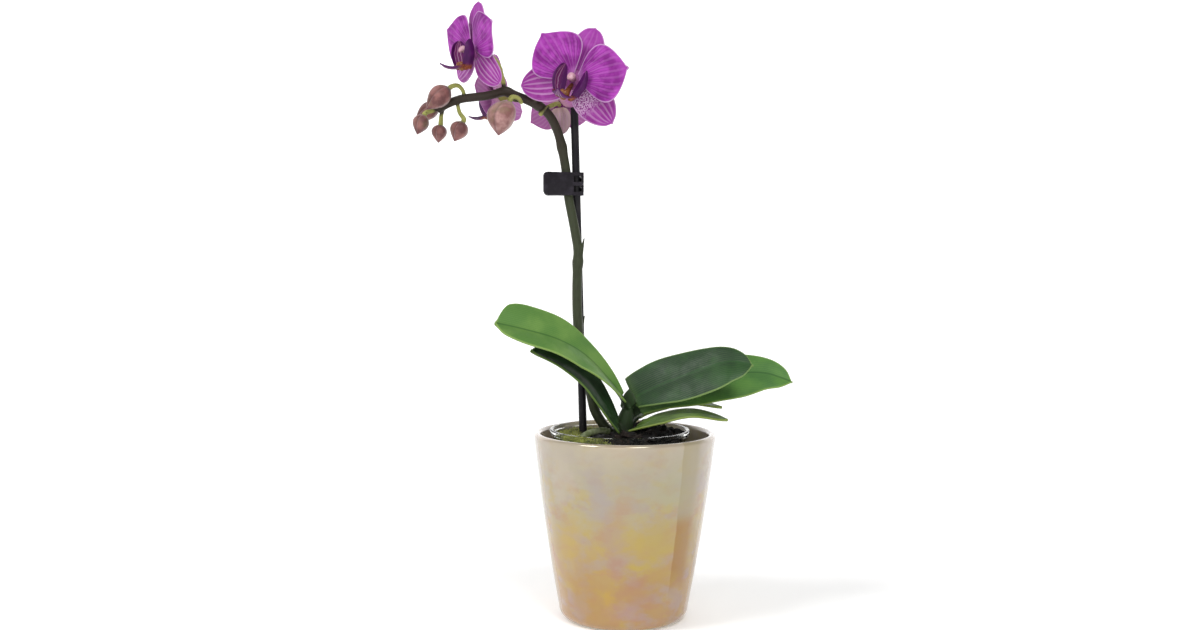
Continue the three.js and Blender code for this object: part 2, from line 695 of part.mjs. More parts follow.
/** Three-lobed lip: two side lobes that cup the column, a pointed middle lobe and a callus. */
function lip(name, size) {
  const sideLobe = (side) => (t, s) => {
    const open = Math.sin(Math.PI * lerp(0.1, 0.78, t)) ** 0.8;
    const round = Math.sqrt(1 - Math.max(0, t - 0.3) ** 2 / 0.6);
    const turn = radians(lerp(-22, -22 + 66 * s * side, round));
    const out = 0.7 + open * (1.7 + 5.8 * Math.cos(turn));
    const forward = 7.6 + 4.6 * Math.sin(turn) * lerp(0.7, 1, open);
    return v3(side * out, lerp(-10.4, 5.2, t), forward).multiplyScalar(size);
  };
  const middle = new THREE.CatmullRomCurve3(
    [[0, -9.2, 8], [0, -10.4, 12.5], [0, -10, 17], [0, -7.8, 22]].map((p) => v3(...p)),
  );
  const middleLobe = (t, s) => {
    const u = THREE.MathUtils.clamp(t, 0, 1);
    const wide = 3.9 * outline(u, { base: 0.7, rise: 0.5, fall: 1.1, tip: 0.16 });
    const point = middle.getPoint(u).addScaledVector(middle.getTangent(u), (t - u) * 10);
    return v3(s * wide, point.y + 0.05 * (s * wide) ** 2, point.z).multiplyScalar(size);
  };
  const claw = [[0, -2.9, 1.6], [0, -4.8, 3.4], [0, -7.8, 6], [0, -9.8, 9]].map((p) =>
    v3(...p).multiplyScalar(size),
  );
  const callus = new THREE.SphereGeometry(2 * size, 7, 5).translate(0, -8.4 * size, 9.2 * size);
  const geometry = join([
    blade(sideLobe(1), LIP_THICKNESS, 5, 4),
    blade(sideLobe(-1), LIP_THICKNESS, 5, 4),
    blade(middleLobe, LIP_THICKNESS, 5, 2),
    stem(claw, (u) => lerp(1, 1.9, u) * size, 6, 3),
    callus,
  ]);
  return piece(name, geometry, 0x4a1264, 0.5);
}

/** Column: a short hooded rod with a rounded cap. */
function column(name, size) {
  const sections = [
    [0, 1.4, 1.2], [0, 3.4, 1.5], [0.2, 6, 1.9], [0.2, 8, 2], [-0.4, 9.4, 1.4],
  ];
  const rings = sections.map(([y, z, r]) =>
    Array.from({ length: 8 }, (_, j) => {
      const turn = (j / 8) * 2 * Math.PI;
      return v3(Math.cos(turn) * r, y + Math.sin(turn) * r, z).multiplyScalar(size);
    }),
  );
  const ends = [v3(0, 0, 1.3), v3(0, -0.6, 9.9)].map((p) => p.multiplyScalar(size));
  return piece(name, loft(rings, ...ends), 0xf0cfd8, 0.5);
}

function bloom(name, settings) {
  const { size, petalTurns, sepalTurns } = settings;
  const frame = bloomFrame(settings);
  const magenta = 0xb04bb8;
  frame.add(
    tepal(`${name}_upper_sepal`, SEPAL, 0, size, 4, magenta),
    tepal(`${name}_right_sepal`, SIDE_SEPAL, sepalTurns[0], size, 4, magenta),
    tepal(`${name}_left_sepal`, SIDE_SEPAL, -sepalTurns[1], size, 4, magenta),
    tepal(`${name}_right_petal`, PETAL, petalTurns[0], size, 6, magenta),
    tepal(`${name}_left_petal`, PETAL, -petalTurns[1], size, 6, magenta),
    lip(`${name}_lip`, size),
    column(`${name}_column`, size),
  );
  return frame;
}

// Stake and clip

/** The stake, grown by extra all round to make its hole. */
function stakeGeometry(extra = 0) {
  const radius = STAKE_RADIUS + extra;
  return stem([STAKE_BOTTOM, STAKE_BOTTOM.clone().lerp(STAKE_TOP, 0.5), STAKE_TOP], () => radius, 10, 2);
}

/**
 * Frame of the clip: its origin is the hinge axis at the clip's middle, +X runs past the spike to the
 * stake, and -Y is the front.
 */
function clipFrame() {
  const spike = SPIKE.find((p) => p.z === CLIP_Z);
  const frame = new THREE.Group();
  frame.rotation.z = radians(CLIP_TURN);
  const offset = v3(-CLIP_HINGE_TO_SPIKE, CLIP_BEHIND_SPIKE, 0).applyEuler(frame.rotation);
  frame.position.copy(spike).add(offset);
  return frame;
}

/** Upright plate with rounded top view: an outline of points, from height low to high. */
function upright(points, low, high) {
  const shape = new THREE.Shape(points.map(([x, y]) => new THREE.Vector2(x, y)));
  const depth = high - low;
  return new THREE.ExtrudeGeometry(shape, { depth, bevelEnabled: false }).translate(0, 0, low);
}

/** Upright round bar or hole on the hinge axis. */
function barrel(radius, low, high) {
  const height = high - low;
  return new THREE.CylinderGeometry(radius, radius, height, 12)
    .rotateX(Math.PI / 2)
    .translate(0, 0, (low + high) / 2);
}

/** Points of an arc about the hinge, from one turn to another in degrees. */
function arc(radius, from, to, steps) {
  return Array.from({ length: steps + 1 }, (_, i) => {
    const turn = radians(lerp(from, to, i / steps));
    return [Math.cos(turn) * radius, Math.sin(turn) * radius];
  });
}

// Heights of the hooked fingers, from the bottom: front, rear, front, rear, front
const FINGERS = [];
for (let i = 0, low = -CLIP_HEIGHT / 2; i < 5; i++) {
  const front = i % 2 === 0;
  const high = low + (front ? FRONT_FINGER : REAR_FINGER);
  FINGERS.push({ front, low, high });
  low = high + CLIP_FINGER_GAP;
}

// Heights of the knuckles on the hinge axis, from the clip's middle
const FRONT_KNUCKLES = [[-3.5, -1.3], [3, CLIP_HEIGHT / 2]];
const REAR_KNUCKLES = [[-CLIP_HEIGHT / 2, -3.9], [1.3, 2.6]];
const SPRING_HEIGHT = 2;

/** Lever plate with round corners, standing on its edge and turned off the clip's long axis. */
function lever(length) {
  const [tall, corner] = [CLIP_HEIGHT, 2.2];
  const plate = new THREE.Shape();
  plate.moveTo(0, -tall / 2);
  plate.lineTo(0, tall / 2);
  plate.lineTo(corner - length, tall / 2);
  plate.absarc(corner - length, tall / 2 - corner, corner, Math.PI / 2, Math.PI, false);
  plate.absarc(corner - length, corner - tall / 2, corner, Math.PI, 1.5 * Math.PI, false);
  return new THREE.ExtrudeGeometry(plate, { depth: CLIP_WALL, bevelEnabled: false, curveSegments: 4 })
    .rotateX(Math.PI / 2)
    .translate(0, CLIP_WALL, 0)
    .rotateZ(-radians(LEVER_FLARE))
    .translate(1, CLIP_INSIDE - 0.1, 0);
}

/** One jaw: wall, hooked fingers, lever and knuckles. side is -1 for the front and 1 for the rear. */
function jaw(side) {
  const half = CLIP_HEIGHT / 2;
  const [inside, outside] = [CLIP_INSIDE, CLIP_INSIDE + CLIP_WALL];
  const [endIn, endOut] = [CLIP_TO_END, CLIP_TO_END + CLIP_WALL];
  const corner = (radius, offset) => THREE.MathUtils.radToDeg(Math.asin(offset / radius));
  const wall = [
    [0.4, inside], ...arc(endIn, corner(endIn, inside), 9.4, 1),
    ...arc(endOut, 9.4, corner(endOut, outside), 2), [0.4, outside],
  ];
  const hook = [...arc(endIn, 10, -8, 3), ...arc(endOut, -8, 10, 3)];
  const web = [[-1.3, 0], [1.3, 0], [1.6, inside + 0.5], [-1.3, inside + 0.5]];
  const knuckles = side < 0 ? FRONT_KNUCKLES : REAR_KNUCKLES;
  const fingers = FINGERS.filter(({ front }) => front === side < 0);
  const parts = [
    upright(wall, -half, half),
    lever(side < 0 ? FRONT_LEVER : REAR_LEVER),
    ...knuckles.flatMap(([low, high]) => [barrel(KNUCKLE_RADIUS, low, high), upright(web, low, high)]),
    ...fingers.map(({ low, high }) => upright(hook, low, high)),
  ];
  const bore = barrel(PIN_RADIUS + GAP, -half - 1, half + 1);
  const slots = FINGERS.filter(({ front }) => front !== side < 0).map(({ low, high }) => {
    const [from, to] = [CLIP_TO_END - SLOT_LENGTH, endOut + 1];
    const cut = [[from, inside - 1], [to, inside - 1], [to, outside + 1], [from, outside + 1]];
    return upright(cut, low - CLIP_FINGER_GAP, high + CLIP_FINGER_GAP);
  });
  const whole = solidOf(join(parts, [bore, ...slots]));
  return geometryOf(side < 0 ? whole.mirror([0, 1, 0]) : whole);
}

/** Torsion spring: its closed coil round the pin and the leg that lies on the rear lever. */
function clipSpring() {
  const high = SPRING_HEIGHT / 2;
  const leg = [v3(0, 1.65, 0), v3(-2.2, 2.9, 0), v3(-4.6, 4.5, 0)];
  const bore = barrel(PIN_RADIUS + GAP, -high - 1, high + 1);
  return join([barrel(KNUCKLE_RADIUS - 0.1, -high, high), stem(leg, () => 0.4, 6, 2)], [bore]);
}

function clip() {
  const frame = clipFrame();
  const half = CLIP_HEIGHT / 2;
  const dark = 0x17141c;
  frame.add(
    piece("clip_front_jaw", jaw(-1), dark, 0.4),
    piece("clip_rear_jaw", jaw(1), dark, 0.4),
    piece("clip_hinge_pin", barrel(PIN_RADIUS, -half, half), dark, 0.4),
    piece("clip_spring", clipSpring(), 0x8a8c90, 0.3, { metalness: 1 }),
  );
  return frame;
}

// Assembly

const potted_orchid = new THREE.Group();

const rootHoles = Object.values(ROOTS).map((root) => rootGeometry(root, GAP));
const stakeHole = stakeGeometry(GAP);
const spikePocket = stem(SPIKE.slice(0, 4), () => SPIKE_BASE_RADIUS + GAP, 8, 6);
const plantStem = stemBase(spikePocket);
const stemHole = turned([[0, 78], [7, 78], [12, 89], [12, 100], [0, 100]], 16).translate(0, -1, 0);

potted_orchid.add(
  ceramicPot(),
  nurseryPot(),
  growingMedium([stakeHole, stemHole, spikePocket, ...rootHoles]),
  moss([stakeHole, spikePocket, ...rootHoles]),
  plantStem,
  flowerSpike(),
  piece("support_stake", stakeGeometry(), 0x1d1820, 0.4),
  clip(),
);
for (const [name, root] of Object.entries(ROOTS)) {
  potted_orchid.add(piece(name, rootGeometry(root), 0x9aa67c, 0.7));
}
for (const [name, leaf] of Object.entries(LEAVES)) {
  const start = sheathShare(leaf, SHEATH);
  const geometry = blade(leafSurface(leaf), LEAF_THICKNESS, LEAF_STEPS, LEAF_ACROSS, start, 1);
  potted_orchid.add(piece(name, geometry, 0x3f7a35, 0.35));
}
Object.entries(BUDS).forEach(([name, settings], index) => {
  potted_orchid.add(bud(name, settings, index));
});
for (const [name, settings] of Object.entries(BLOOMS)) potted_orchid.add(bloom(name, settings));

export default potted_orchid;
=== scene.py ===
"""Looks of the potted miniature moth orchid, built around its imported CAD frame.

Lengths are millimetres until a mesh is made, and the object's frame is the CAD's: +Z up, front to -Y.
"""

import logging
import math
from collections.abc import Callable, Sequence
from dataclasses import dataclass, field
from enum import Enum
from functools import cached_property
from typing import Any

import bpy
import numpy as np
from mathutils import Matrix
from mathutils.kdtree import KDTree


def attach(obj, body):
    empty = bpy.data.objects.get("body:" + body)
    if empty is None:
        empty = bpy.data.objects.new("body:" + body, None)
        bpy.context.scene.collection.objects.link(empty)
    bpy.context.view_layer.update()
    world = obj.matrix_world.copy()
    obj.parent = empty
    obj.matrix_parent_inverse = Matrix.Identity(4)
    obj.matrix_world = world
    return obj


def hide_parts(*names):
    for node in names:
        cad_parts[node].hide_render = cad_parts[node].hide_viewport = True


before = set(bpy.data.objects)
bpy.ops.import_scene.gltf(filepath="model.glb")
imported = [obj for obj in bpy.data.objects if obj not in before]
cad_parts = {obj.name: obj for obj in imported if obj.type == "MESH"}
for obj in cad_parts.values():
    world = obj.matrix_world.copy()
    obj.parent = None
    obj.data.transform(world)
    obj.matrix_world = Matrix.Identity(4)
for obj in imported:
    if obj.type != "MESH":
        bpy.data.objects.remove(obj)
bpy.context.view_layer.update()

MM = 0.001
TAU = 2 * math.pi
LOG = logging.getLogger("orchid")

# How many waves a ripple is made of, and how many steps a path takes to each of its points
SWELLS = 7
STEPS_PER_POINT = 60

Surface = Callable[[np.ndarray, np.ndarray], np.ndarray]


class Body(Enum):
    """The CAD bodies that a piece can ride on."""

    ROOT = "root"
    CLIP_JAW = "clip_jaw"


class Slot(Enum):
    """The record's material slots."""

    POT_GLAZE = "pot_glaze"
    CLEAR_PLASTIC = "clear_plastic"
    BARK = "bark"
    MOSS = "moss"
    ROOT = "root"
    LEAF = "leaf"
    STEM = "stem"
    PETAL = "petal"
    LIP = "lip"
    COLUMN = "column"
    BUD = "bud"
    STAKE_PLASTIC = "stake_plastic"
    CLIP_PLASTIC = "clip_plastic"
    SPRING_STEEL = "spring_steel"


# Numbers and curves


def lerp(a: Any, b: Any, share: Any) -> Any:
    """Value at a share of the way from a to b."""
    return a + (b - a) * share


def smooth(low: float, high: float, value: np.ndarray) -> np.ndarray:
    """Share from 0 at low to 1 at high, with soft ends."""
    share = np.clip((value - low) / (high - low), 0, 1)
    return share * share * (3 - 2 * share)


def unit(vectors: np.ndarray) -> np.ndarray:
    """The vectors at length 1."""
    return vectors / np.maximum(np.linalg.norm(vectors, axis=-1, keepdims=True), 1e-12)


def stack(*parts: Any) -> np.ndarray:
    """Points from their coordinates, each an array or one number."""
    return np.stack(np.broadcast_arrays(*parts), axis=-1).astype(float)


def ripple(places: np.ndarray, size: float, seed: int) -> np.ndarray:
    """Smooth unevenness of about -1 to 1.

    Args:
        places: points, in millimetres.
        size: width of one swell.
        seed: number that picks the swells.

    Returns:
        One value for each point.
    """
    random = np.random.default_rng(seed)
    total = np.zeros(places.shape[:-1])
    for _ in range(SWELLS):
        wave = unit(random.normal(size=places.shape[-1])) * math.pi / size * random.uniform(0.6, 1.5)
        total += np.sin(places @ wave + random.uniform(0, TAU))
    return total / (SWELLS / 2)


class Path:
    """Smooth curve through points, measured by its length."""

    def __init__(self, points: Sequence[Sequence[float]]) -> None:
        """Keeps the points and measures the curve."""
        self.points = np.asarray(points, float)
        self.steps = np.linspace(0, 1, STEPS_PER_POINT * len(self.points))
        gaps = np.linalg.norm(np.diff(self.raw(self.steps), axis=0), axis=1)
        self.lengths = np.concatenate([[0], np.cumsum(gaps)])
        self.length = float(self.lengths[-1])

    def raw(self, t: np.ndarray) -> np.ndarray:
        """Centripetal Catmull-Rom point at t, where each stretch between two points counts the same."""
        known = self.points
        padded = np.concatenate([[2 * known[0] - known[1]], known, [2 * known[-1] - known[-2]]])
        place = np.clip(t, 0, 1) * (len(known) - 1)
        first = np.minimum(place.astype(int), len(known) - 2)
        w = (place - first)[..., None]
        a, b, c, d = (padded[first + k] for k in range(4))
        pairs = ((a, b), (b, c), (c, d))
        ab, bc, cd = (np.linalg.norm(q - p, axis=-1, keepdims=True) ** 0.5 for p, q in pairs)
        leave = ((b - a) / ab - (c - a) / (ab + bc) + (c - b) / bc) * bc
        reach = ((c - b) / bc - (d - b) / (bc + cd) + (d - c) / cd) * bc
        return b + leave * w + (3 * (c - b) - 2 * leave - reach) * w**2 + (2 * (b - c) + leave + reach) * w**3

    def _t(self, share: np.ndarray) -> np.ndarray:
        """The t of raw at a share of the length."""
        return np.interp(np.clip(share, 0, 1) * self.length, self.lengths, self.steps)

    def point(self, share: np.ndarray) -> np.ndarray:
        """Point at a share of the length."""
        return self.raw(self._t(share))

    def tangent(self, share: np.ndarray) -> np.ndarray:
        """Direction at a share of the length."""
        step = 1e-4
        t = np.clip(self._t(share), step, 1 - step)
        return unit(self.raw(t + step) - self.raw(t - step))

    def sides(self, share: np.ndarray) -> tuple[np.ndarray, np.ndarray]:
        """Two directions square to the curve and to each other, which don't twist along it."""
        tangents = self.tangent(share)
        side = np.cross(tangents[0], np.eye(3)[np.argmin(np.abs(tangents[0]))])
        sides = []
        for tangent in tangents:
            side = unit(side - tangent * (side @ tangent))
            sides.append(side)
        return np.array(sides), np.cross(tangents, np.array(sides))


@dataclass(frozen=True)
class Outline:
    """Half width of a blade along its length, as a share of its widest."""

    base: float
    rise: float
    fall: float
    tip: float
    half: float = 1.0

    def at(self, t: np.ndarray) -> np.ndarray:
        """Half width at t, with the end of the blade rounded off."""
        x = np.clip(t, 0, 1)
        peak = self.rise / (self.rise + self.fall)
        bulge = (x / peak) ** self.rise * ((1 - x) / (1 - peak)) ** self.fall
        blunt = np.maximum(self.base * (1 - x) ** 2 + bulge, self.tip)
        end = np.clip((x - 0.94) / 0.06, 0, 0.999)
        return self.half * blunt * np.sqrt(1 - end**2)


# Meshes


@dataclass
class Shape:
    """Closed mesh: corners in millimetres, faces, a finish number for each face, and named values."""

    corners: np.ndarray
    faces: list[tuple[int, ...]]
    values: dict[str, np.ndarray] = field(default_factory=dict)
    finish: list[int] = field(default_factory=list)

    def moved(self, turn: np.ndarray, move: Sequence[float] = (0, 0, 0)) -> "Shape":
        """The shape turned by a 3 x 3 matrix and then moved."""
        corners = self.corners @ np.asarray(turn).T + np.asarray(move)
        return Shape(corners, self.faces, self.values, self.finish)

    @staticmethod
    def joined(shapes: Sequence["Shape"]) -> "Shape":
        """One shape from several, numbered as finishes in their order."""
        names = {name for shape in shapes for name in shape.values}
        faces: list[tuple[int, ...]] = []
        finish: list[int] = []
        start = 0
        for number, shape in enumerate(shapes):
            faces += [tuple(corner + start for corner in face) for face in shape.faces]
            finish += [number] * len(shape.faces)
            start += len(shape.corners)
        values = {
            name: np.concatenate([shape.values.get(name, np.zeros(len(shape.corners))) for shape in shapes])
            for name in names
        }
        return Shape(np.concatenate([shape.corners for shape in shapes]), faces, values, finish)

    def object(self, name: str, scale: float = MM) -> bpy.types.Object:
        """Makes the Blender object.

        Args:
            name: its name.
            scale: metres for each unit of the corners.

        Returns:
            A smooth-shaded mesh object with the values as attributes on its corners.
        """
        mesh = bpy.data.meshes.new(name)
        mesh.from_pydata((self.corners * scale).tolist(), [], self.faces)
        mesh.polygons.foreach_set("use_smooth", [True] * len(self.faces))
        if self.finish:
            mesh.polygons.foreach_set("material_index", self.finish)
        for label, numbers in self.values.items():
            attribute = mesh.attributes.new(label, "FLOAT", "POINT")
            attribute.data.foreach_set("value", np.asarray(numbers, np.float32).ravel())
        mesh.update()
        obj = bpy.data.objects.new(name, mesh)
        bpy.context.scene.collection.objects.link(obj)
        return obj


def loft(rings: np.ndarray, first: Sequence[float], last: Sequence[float]) -> Shape:
    """Closed shape through rings of points.

    Args:
        rings: array of rings by points by coordinates; each ring turns about the way from first to last.
        first: point that closes the first ring.
        last: point that closes the last ring.

    Returns:
        The shape, with the value "along" from 0 at first to 1 at last.
    """
    count, sides = rings.shape[:2]
    corners = np.concatenate([[first], rings.reshape(-1, 3), [last]])
    end = len(corners) - 1

    def at(ring: int, side: int) -> int:
        """Number of a ring's corner."""
        return 1 + ring * sides + side % sides

    faces: list[tuple[int, ...]] = [(0, at(0, j + 1), at(0, j)) for j in range(sides)]
    faces += [(end, at(count - 1, j), at(count - 1, j + 1)) for j in range(sides)]
    faces += [
        (at(i, j), at(i, j + 1), at(i + 1, j + 1), at(i + 1, j))
        for i in range(count - 1) for j in range(sides)
    ]
    along = np.concatenate([[0], np.repeat(np.linspace(0, 1, count), sides), [1]])
    return Shape(corners, faces, {"along": along})


def turned(profile: Sequence[Sequence[float]], sides: int, centre: Sequence[float] = (0, 0)) -> Shape:
    """Shape turned about an upright axis.

    Args:
        profile: [radius, height] pairs, from its bottom's middle to its top's.
        sides: points round it.
        centre: place of the axis.

    Returns:
        The shape, with the value "along".
    """
    around = np.linspace(0, TAU, sides, endpoint=False)
    r, z = np.asarray(profile, float).T[..., None]
    rings = stack(centre[0] + r * np.cos(around), centre[1] + r * np.sin(around), z)
    ends = [(*centre, profile[0][1]), (*centre, profile[-1][1])]
    return loft(rings, *ends)


def tube(path: Path, radius: Callable[[np.ndarray], np.ndarray], sides: int, steps: int) -> Shape:
    """Round tube with domed ends along a path.

    Args:
        path: its centre line.
        radius: radius at an array of shares of the length.
        sides: points round it.
        steps: rings along it.

    Returns:
        The shape, with the value "along".
    """
    share = np.linspace(0, 1, steps + 1)
    right, up = path.sides(share)
    around = np.linspace(0, TAU, sides, endpoint=False)[None, :, None]
    reach = np.broadcast_to(radius(share), share.shape)[:, None, None]
    centre = path.point(share)
    rings = centre[:, None] + (right[:, None] * np.cos(around) + up[:, None] * np.sin(around)) * reach
    caps = []
    for ring, way, size in ((rings[0], -1, reach[0]), (rings[-1], 1, reach[-1])):
        middle = ring.mean(0)
        out = path.tangent(share)[0 if way < 0 else -1] * way * size
        caps.append([middle + (ring - middle) * math.cos(a) + out * 0.6 * math.sin(a) for a in (0.5, 1.05)])
        caps[-1].append(middle + out[0] * 0.6)
    rings = np.concatenate([[caps[0][1], caps[0][0]], rings, caps[1][:2]])
    return loft(rings, caps[0][2], caps[1][2])


def blade(
    surface: Surface, thickness: float, along: int, across: int,
    start: float = 0.0, values: dict[str, Callable[[np.ndarray, np.ndarray], np.ndarray]] | None = None,
) -> Shape:
    """Closed blade: a surface thickened to both sides, thinner towards its round margins.

    Args:
        surface: points for arrays t, from 0 to 1 along it, and s, from -1 to 1 across it.
        thickness: at the middle.
        along: steps along it.
        across: steps across it.
        start: t where it begins.
        values: what to keep on the corners, each worked out from t and s.

    Returns:
        The shape, with the given values and "back", which is 1 on the face that looks away from the front.
    """
    k = np.linspace(0, 1, along + 1)
    t = np.repeat(lerp(start, 1.0, 1 - (1 - k) ** 1.5)[:, None], across + 1, axis=1)
    s = np.repeat(np.sin(np.linspace(-1, 1, across + 1) * math.pi / 2)[None], along + 1, axis=0)
    step = 1e-3
    dt = surface(t + step, s) - surface(t - step, s)
    ds = surface(t, s + step) - surface(t, s - step)
    normal = unit(np.cross(dt, ds))
    middle = surface(t, s)
    half = (thickness / 2 * lerp(1, 0.55, np.abs(s) ** 4))[..., None]

    def at(i: int, j: int) -> int:
        """Number of the corner at a step along and a step across."""
        return i * (across + 1) + j

    edge = [at(i, 0) for i in range(along)] + [at(along, j) for j in range(across)]
    edge += [at(along - i, across) for i in range(along)] + [at(0, across - j) for j in range(across)]
    outward = np.where(np.abs(s)[..., None] == 1, np.sign(s)[..., None] * unit(ds), 0)
    outward[-1] += unit(dt)[-1]
    outward[0] -= unit(dt)[0]
    rim = (middle + unit(outward) * half * 0.7).reshape(-1, 3)[edge]
    front, rear = (middle + normal * half).reshape(-1, 3), (middle - normal * half).reshape(-1, 3)
    corners = np.concatenate([front, rear, rim])
    count = t.size
    faces: list[tuple[int, ...]] = []
    for i in range(along):
        for j in range(across):
            a, b, c, d = at(i, j), at(i + 1, j), at(i + 1, j + 1), at(i, j + 1)
            faces += [(a, b, c, d), (a + count, d + count, c + count, b + count)]
    for n, p in enumerate(edge):
        m = (n + 1) % len(edge)
        q = edge[m]
        faces += [(q, p, 2 * count + n, 2 * count + m), (2 * count + m, 2 * count + n, p + count, q + count)]
    kept = {"back": np.concatenate([np.ones(count), np.zeros(count), np.full(len(edge), 0.5)])}
    for name, value in (values or {}).items():
        numbers = np.broadcast_to(value(t, s), t.shape).ravel()
        kept[name] = np.concatenate([numbers, numbers, numbers[edge]])
    return Shape(corners, faces, kept)


def applied(obj: bpy.types.Object) -> bpy.types.Object:
    """Turns an object with live modifiers into a plain mesh and takes the modifiers off."""
    graph = bpy.context.evaluated_depsgraph_get()
    mesh = bpy.data.meshes.new_from_object(
        obj.evaluated_get(graph), preserve_all_data_layers=True, depsgraph=graph,
    )
    obj.modifiers.clear()
    obj.data = mesh
    return obj


def fused(shapes: Sequence[Shape], grain: float, rounds: int) -> Shape:
    """Grows overlapping shapes together into one skin.

    Args:
        shapes: closed shapes that run into each other.
        grain: size of the skin's faces.
        rounds: how often it is smoothed, which rounds the inside of each joint.

    Returns:
        The skin as one shape.
    """
    obj = Shape.joined(shapes).object("fused", 1.0)
    remesh = obj.modifiers.new("grow together", "REMESH")
    remesh.mode, remesh.voxel_size = "VOXEL", grain
    relax = obj.modifiers.new("round off", "SMOOTH")
    relax.factor, relax.iterations = 0.5, rounds
    mesh = applied(obj).data
    corners = np.zeros(len(mesh.vertices) * 3)
    mesh.vertices.foreach_get("co", corners)
    faces = [tuple(face.vertices) for face in mesh.polygons]
    bpy.data.objects.remove(obj)
    return Shape(corners.reshape(-1, 3), faces)


# Finishes


def linear(colour: str) -> tuple[float, float, float, float]:
    """Turns an sRGB hex colour to linear light.

    Args:
        colour: such as "#8f9a2f".

    Returns:
        Red, green, blue and an alpha of 1.
    """
    parts = [int(colour[i : i + 2], 16) / 255 for i in (1, 3, 5)]
    return (*[c / 12.92 if c <= 0.04045 else ((c + 0.055) / 1.055) ** 2.4 for c in parts], 1.0)


class Tree:
    """A node tree that nodes are added to."""

    def __init__(self, tree: bpy.types.NodeTree, prefix: str) -> None:
        """Keeps the tree and the prefix of its nodes' kinds."""
        self.tree, self.prefix = tree, prefix

    def add(
        self, kind: str, inputs: dict[str | int, Any] | None = None, out: str | int = 0,
        stops: Sequence[tuple[float, str]] = (), **settings: Any,
    ) -> bpy.types.NodeSocket:
        """Adds a node with its settings and links.

        Args:
            kind: the node's type, without the tree's prefix.
            inputs: for each input a socket to link, a hex colour or a value.
            out: the output that is wanted.
            stops: places and colours of a colour ramp.
            settings: the node's own properties.

        Returns:
            The wanted output.
        """
        node = self.tree.nodes.new(kind if "Node" in kind else self.prefix + kind)
        for key, value in settings.items():
            setattr(node, key, value)
        for key, value in (inputs or {}).items():
            if isinstance(value, bpy.types.NodeSocket):
                self.tree.links.new(value, node.inputs[key])
            else:
                colour = isinstance(value, str) and value.startswith("#")
                node.inputs[key].default_value = linear(value) if colour else value
        for number, (place, colour) in enumerate(stops):
            elements = node.color_ramp.elements
            if number in (0, 1):
                elements[number].position = (stops[0], stops[-1])[number][0]
                elements[number].color = linear((stops[0], stops[-1])[number][1])
            if 0 < number < len(stops) - 1:
                elements.new(place).color = linear(colour)
        return node.outputs[out]

    def value(self, name: str) -> bpy.types.NodeSocket:
        """A value that the piece keeps on its corners."""
        return self.add("Attribute", out="Fac", attribute_name=name)

    def math(self, operation: str, *inputs: Any) -> bpy.types.NodeSocket:
        """Result of a sum on one to three values."""
        return self.add("Math", dict(enumerate(inputs)), operation=operation)

    def fade(
        self, value: Any, low: float, high: float, to: tuple[float, float] = (0.0, 1.0),
    ) -> bpy.types.NodeSocket:
        """Soft step from to[0], where the value is low, to to[1], where it is high."""
        inputs = {"Value": value, "From Min": low, "From Max": high, "To Min": to[0], "To Max": to[1]}
        return self.add("MapRange", inputs, interpolation_type="SMOOTHSTEP")

    def mix(self, share: Any, a: Any, b: Any, blend: str = "MIX") -> bpy.types.NodeSocket:
        """Colour between a and b."""
        return self.add("Mix", {0: share, 6: a, 7: b}, 2, data_type="RGBA", blend_type=blend)

    def noise(self, size: float, detail: float = 3.0, stretch: tuple[float, float, float] | None = None,
              out: str | int = 0) -> bpy.types.NodeSocket:
        """Noise with patches of a size in millimetres, drawn out along the axes by stretch."""
        place = self.add("TexCoord", out="Object")
        if stretch:
            place = self.add("Mapping", {"Vector": place, "Scale": stretch})
        inputs = {"Vector": place, "Scale": 1 / (size * MM), "Detail": detail}
        return self.add("TexNoise", inputs, out)


@dataclass(frozen=True)
class Finish:
    """What every finish has: its name, its gloss, its refraction and how strong its highlights are."""

    name: str
    roughness: float = 0.5
    # None keeps Blender's own, as a metal does
    ior: float | None = 1.45
    specular: float = 0.5

    @cached_property
    def material(self) -> bpy.types.Material:
        """The finish as a Blender material."""
        material = bpy.data.materials.new(self.name)
        material.use_nodes = True
        shader = material.node_tree.nodes["Principled BSDF"]
        shader.inputs["Roughness"].default_value = self.roughness
        if self.ior is not None:
            shader.inputs["IOR"].default_value = self.ior
        shader.inputs["Specular IOR Level"].default_value = self.specular
        tree = Tree(material.node_tree, "ShaderNode")
        self.paint(tree, {socket.name: socket for socket in shader.inputs})
        return material

    def paint(self, tree: Tree, shader: dict[str, bpy.types.NodeSocket]) -> None:
        """Adds the finish's own nodes."""
        raise NotImplementedError

    @staticmethod
    def link(tree: Tree, colour: bpy.types.NodeSocket, shader: dict[str, bpy.types.NodeSocket],
             relief: bpy.types.NodeSocket | None = None, depth: float = 0.1) -> None:
        """Links a colour, and a relief of a depth in millimetres, to the shader."""
        tree.tree.links.new(colour, shader["Base Color"])
        if relief is not None:
            bump = tree.add("Bump", {"Height": relief, "Distance": depth * MM, "Strength": 1.0}, "Normal")
            tree.tree.links.new(bump, shader["Normal"])


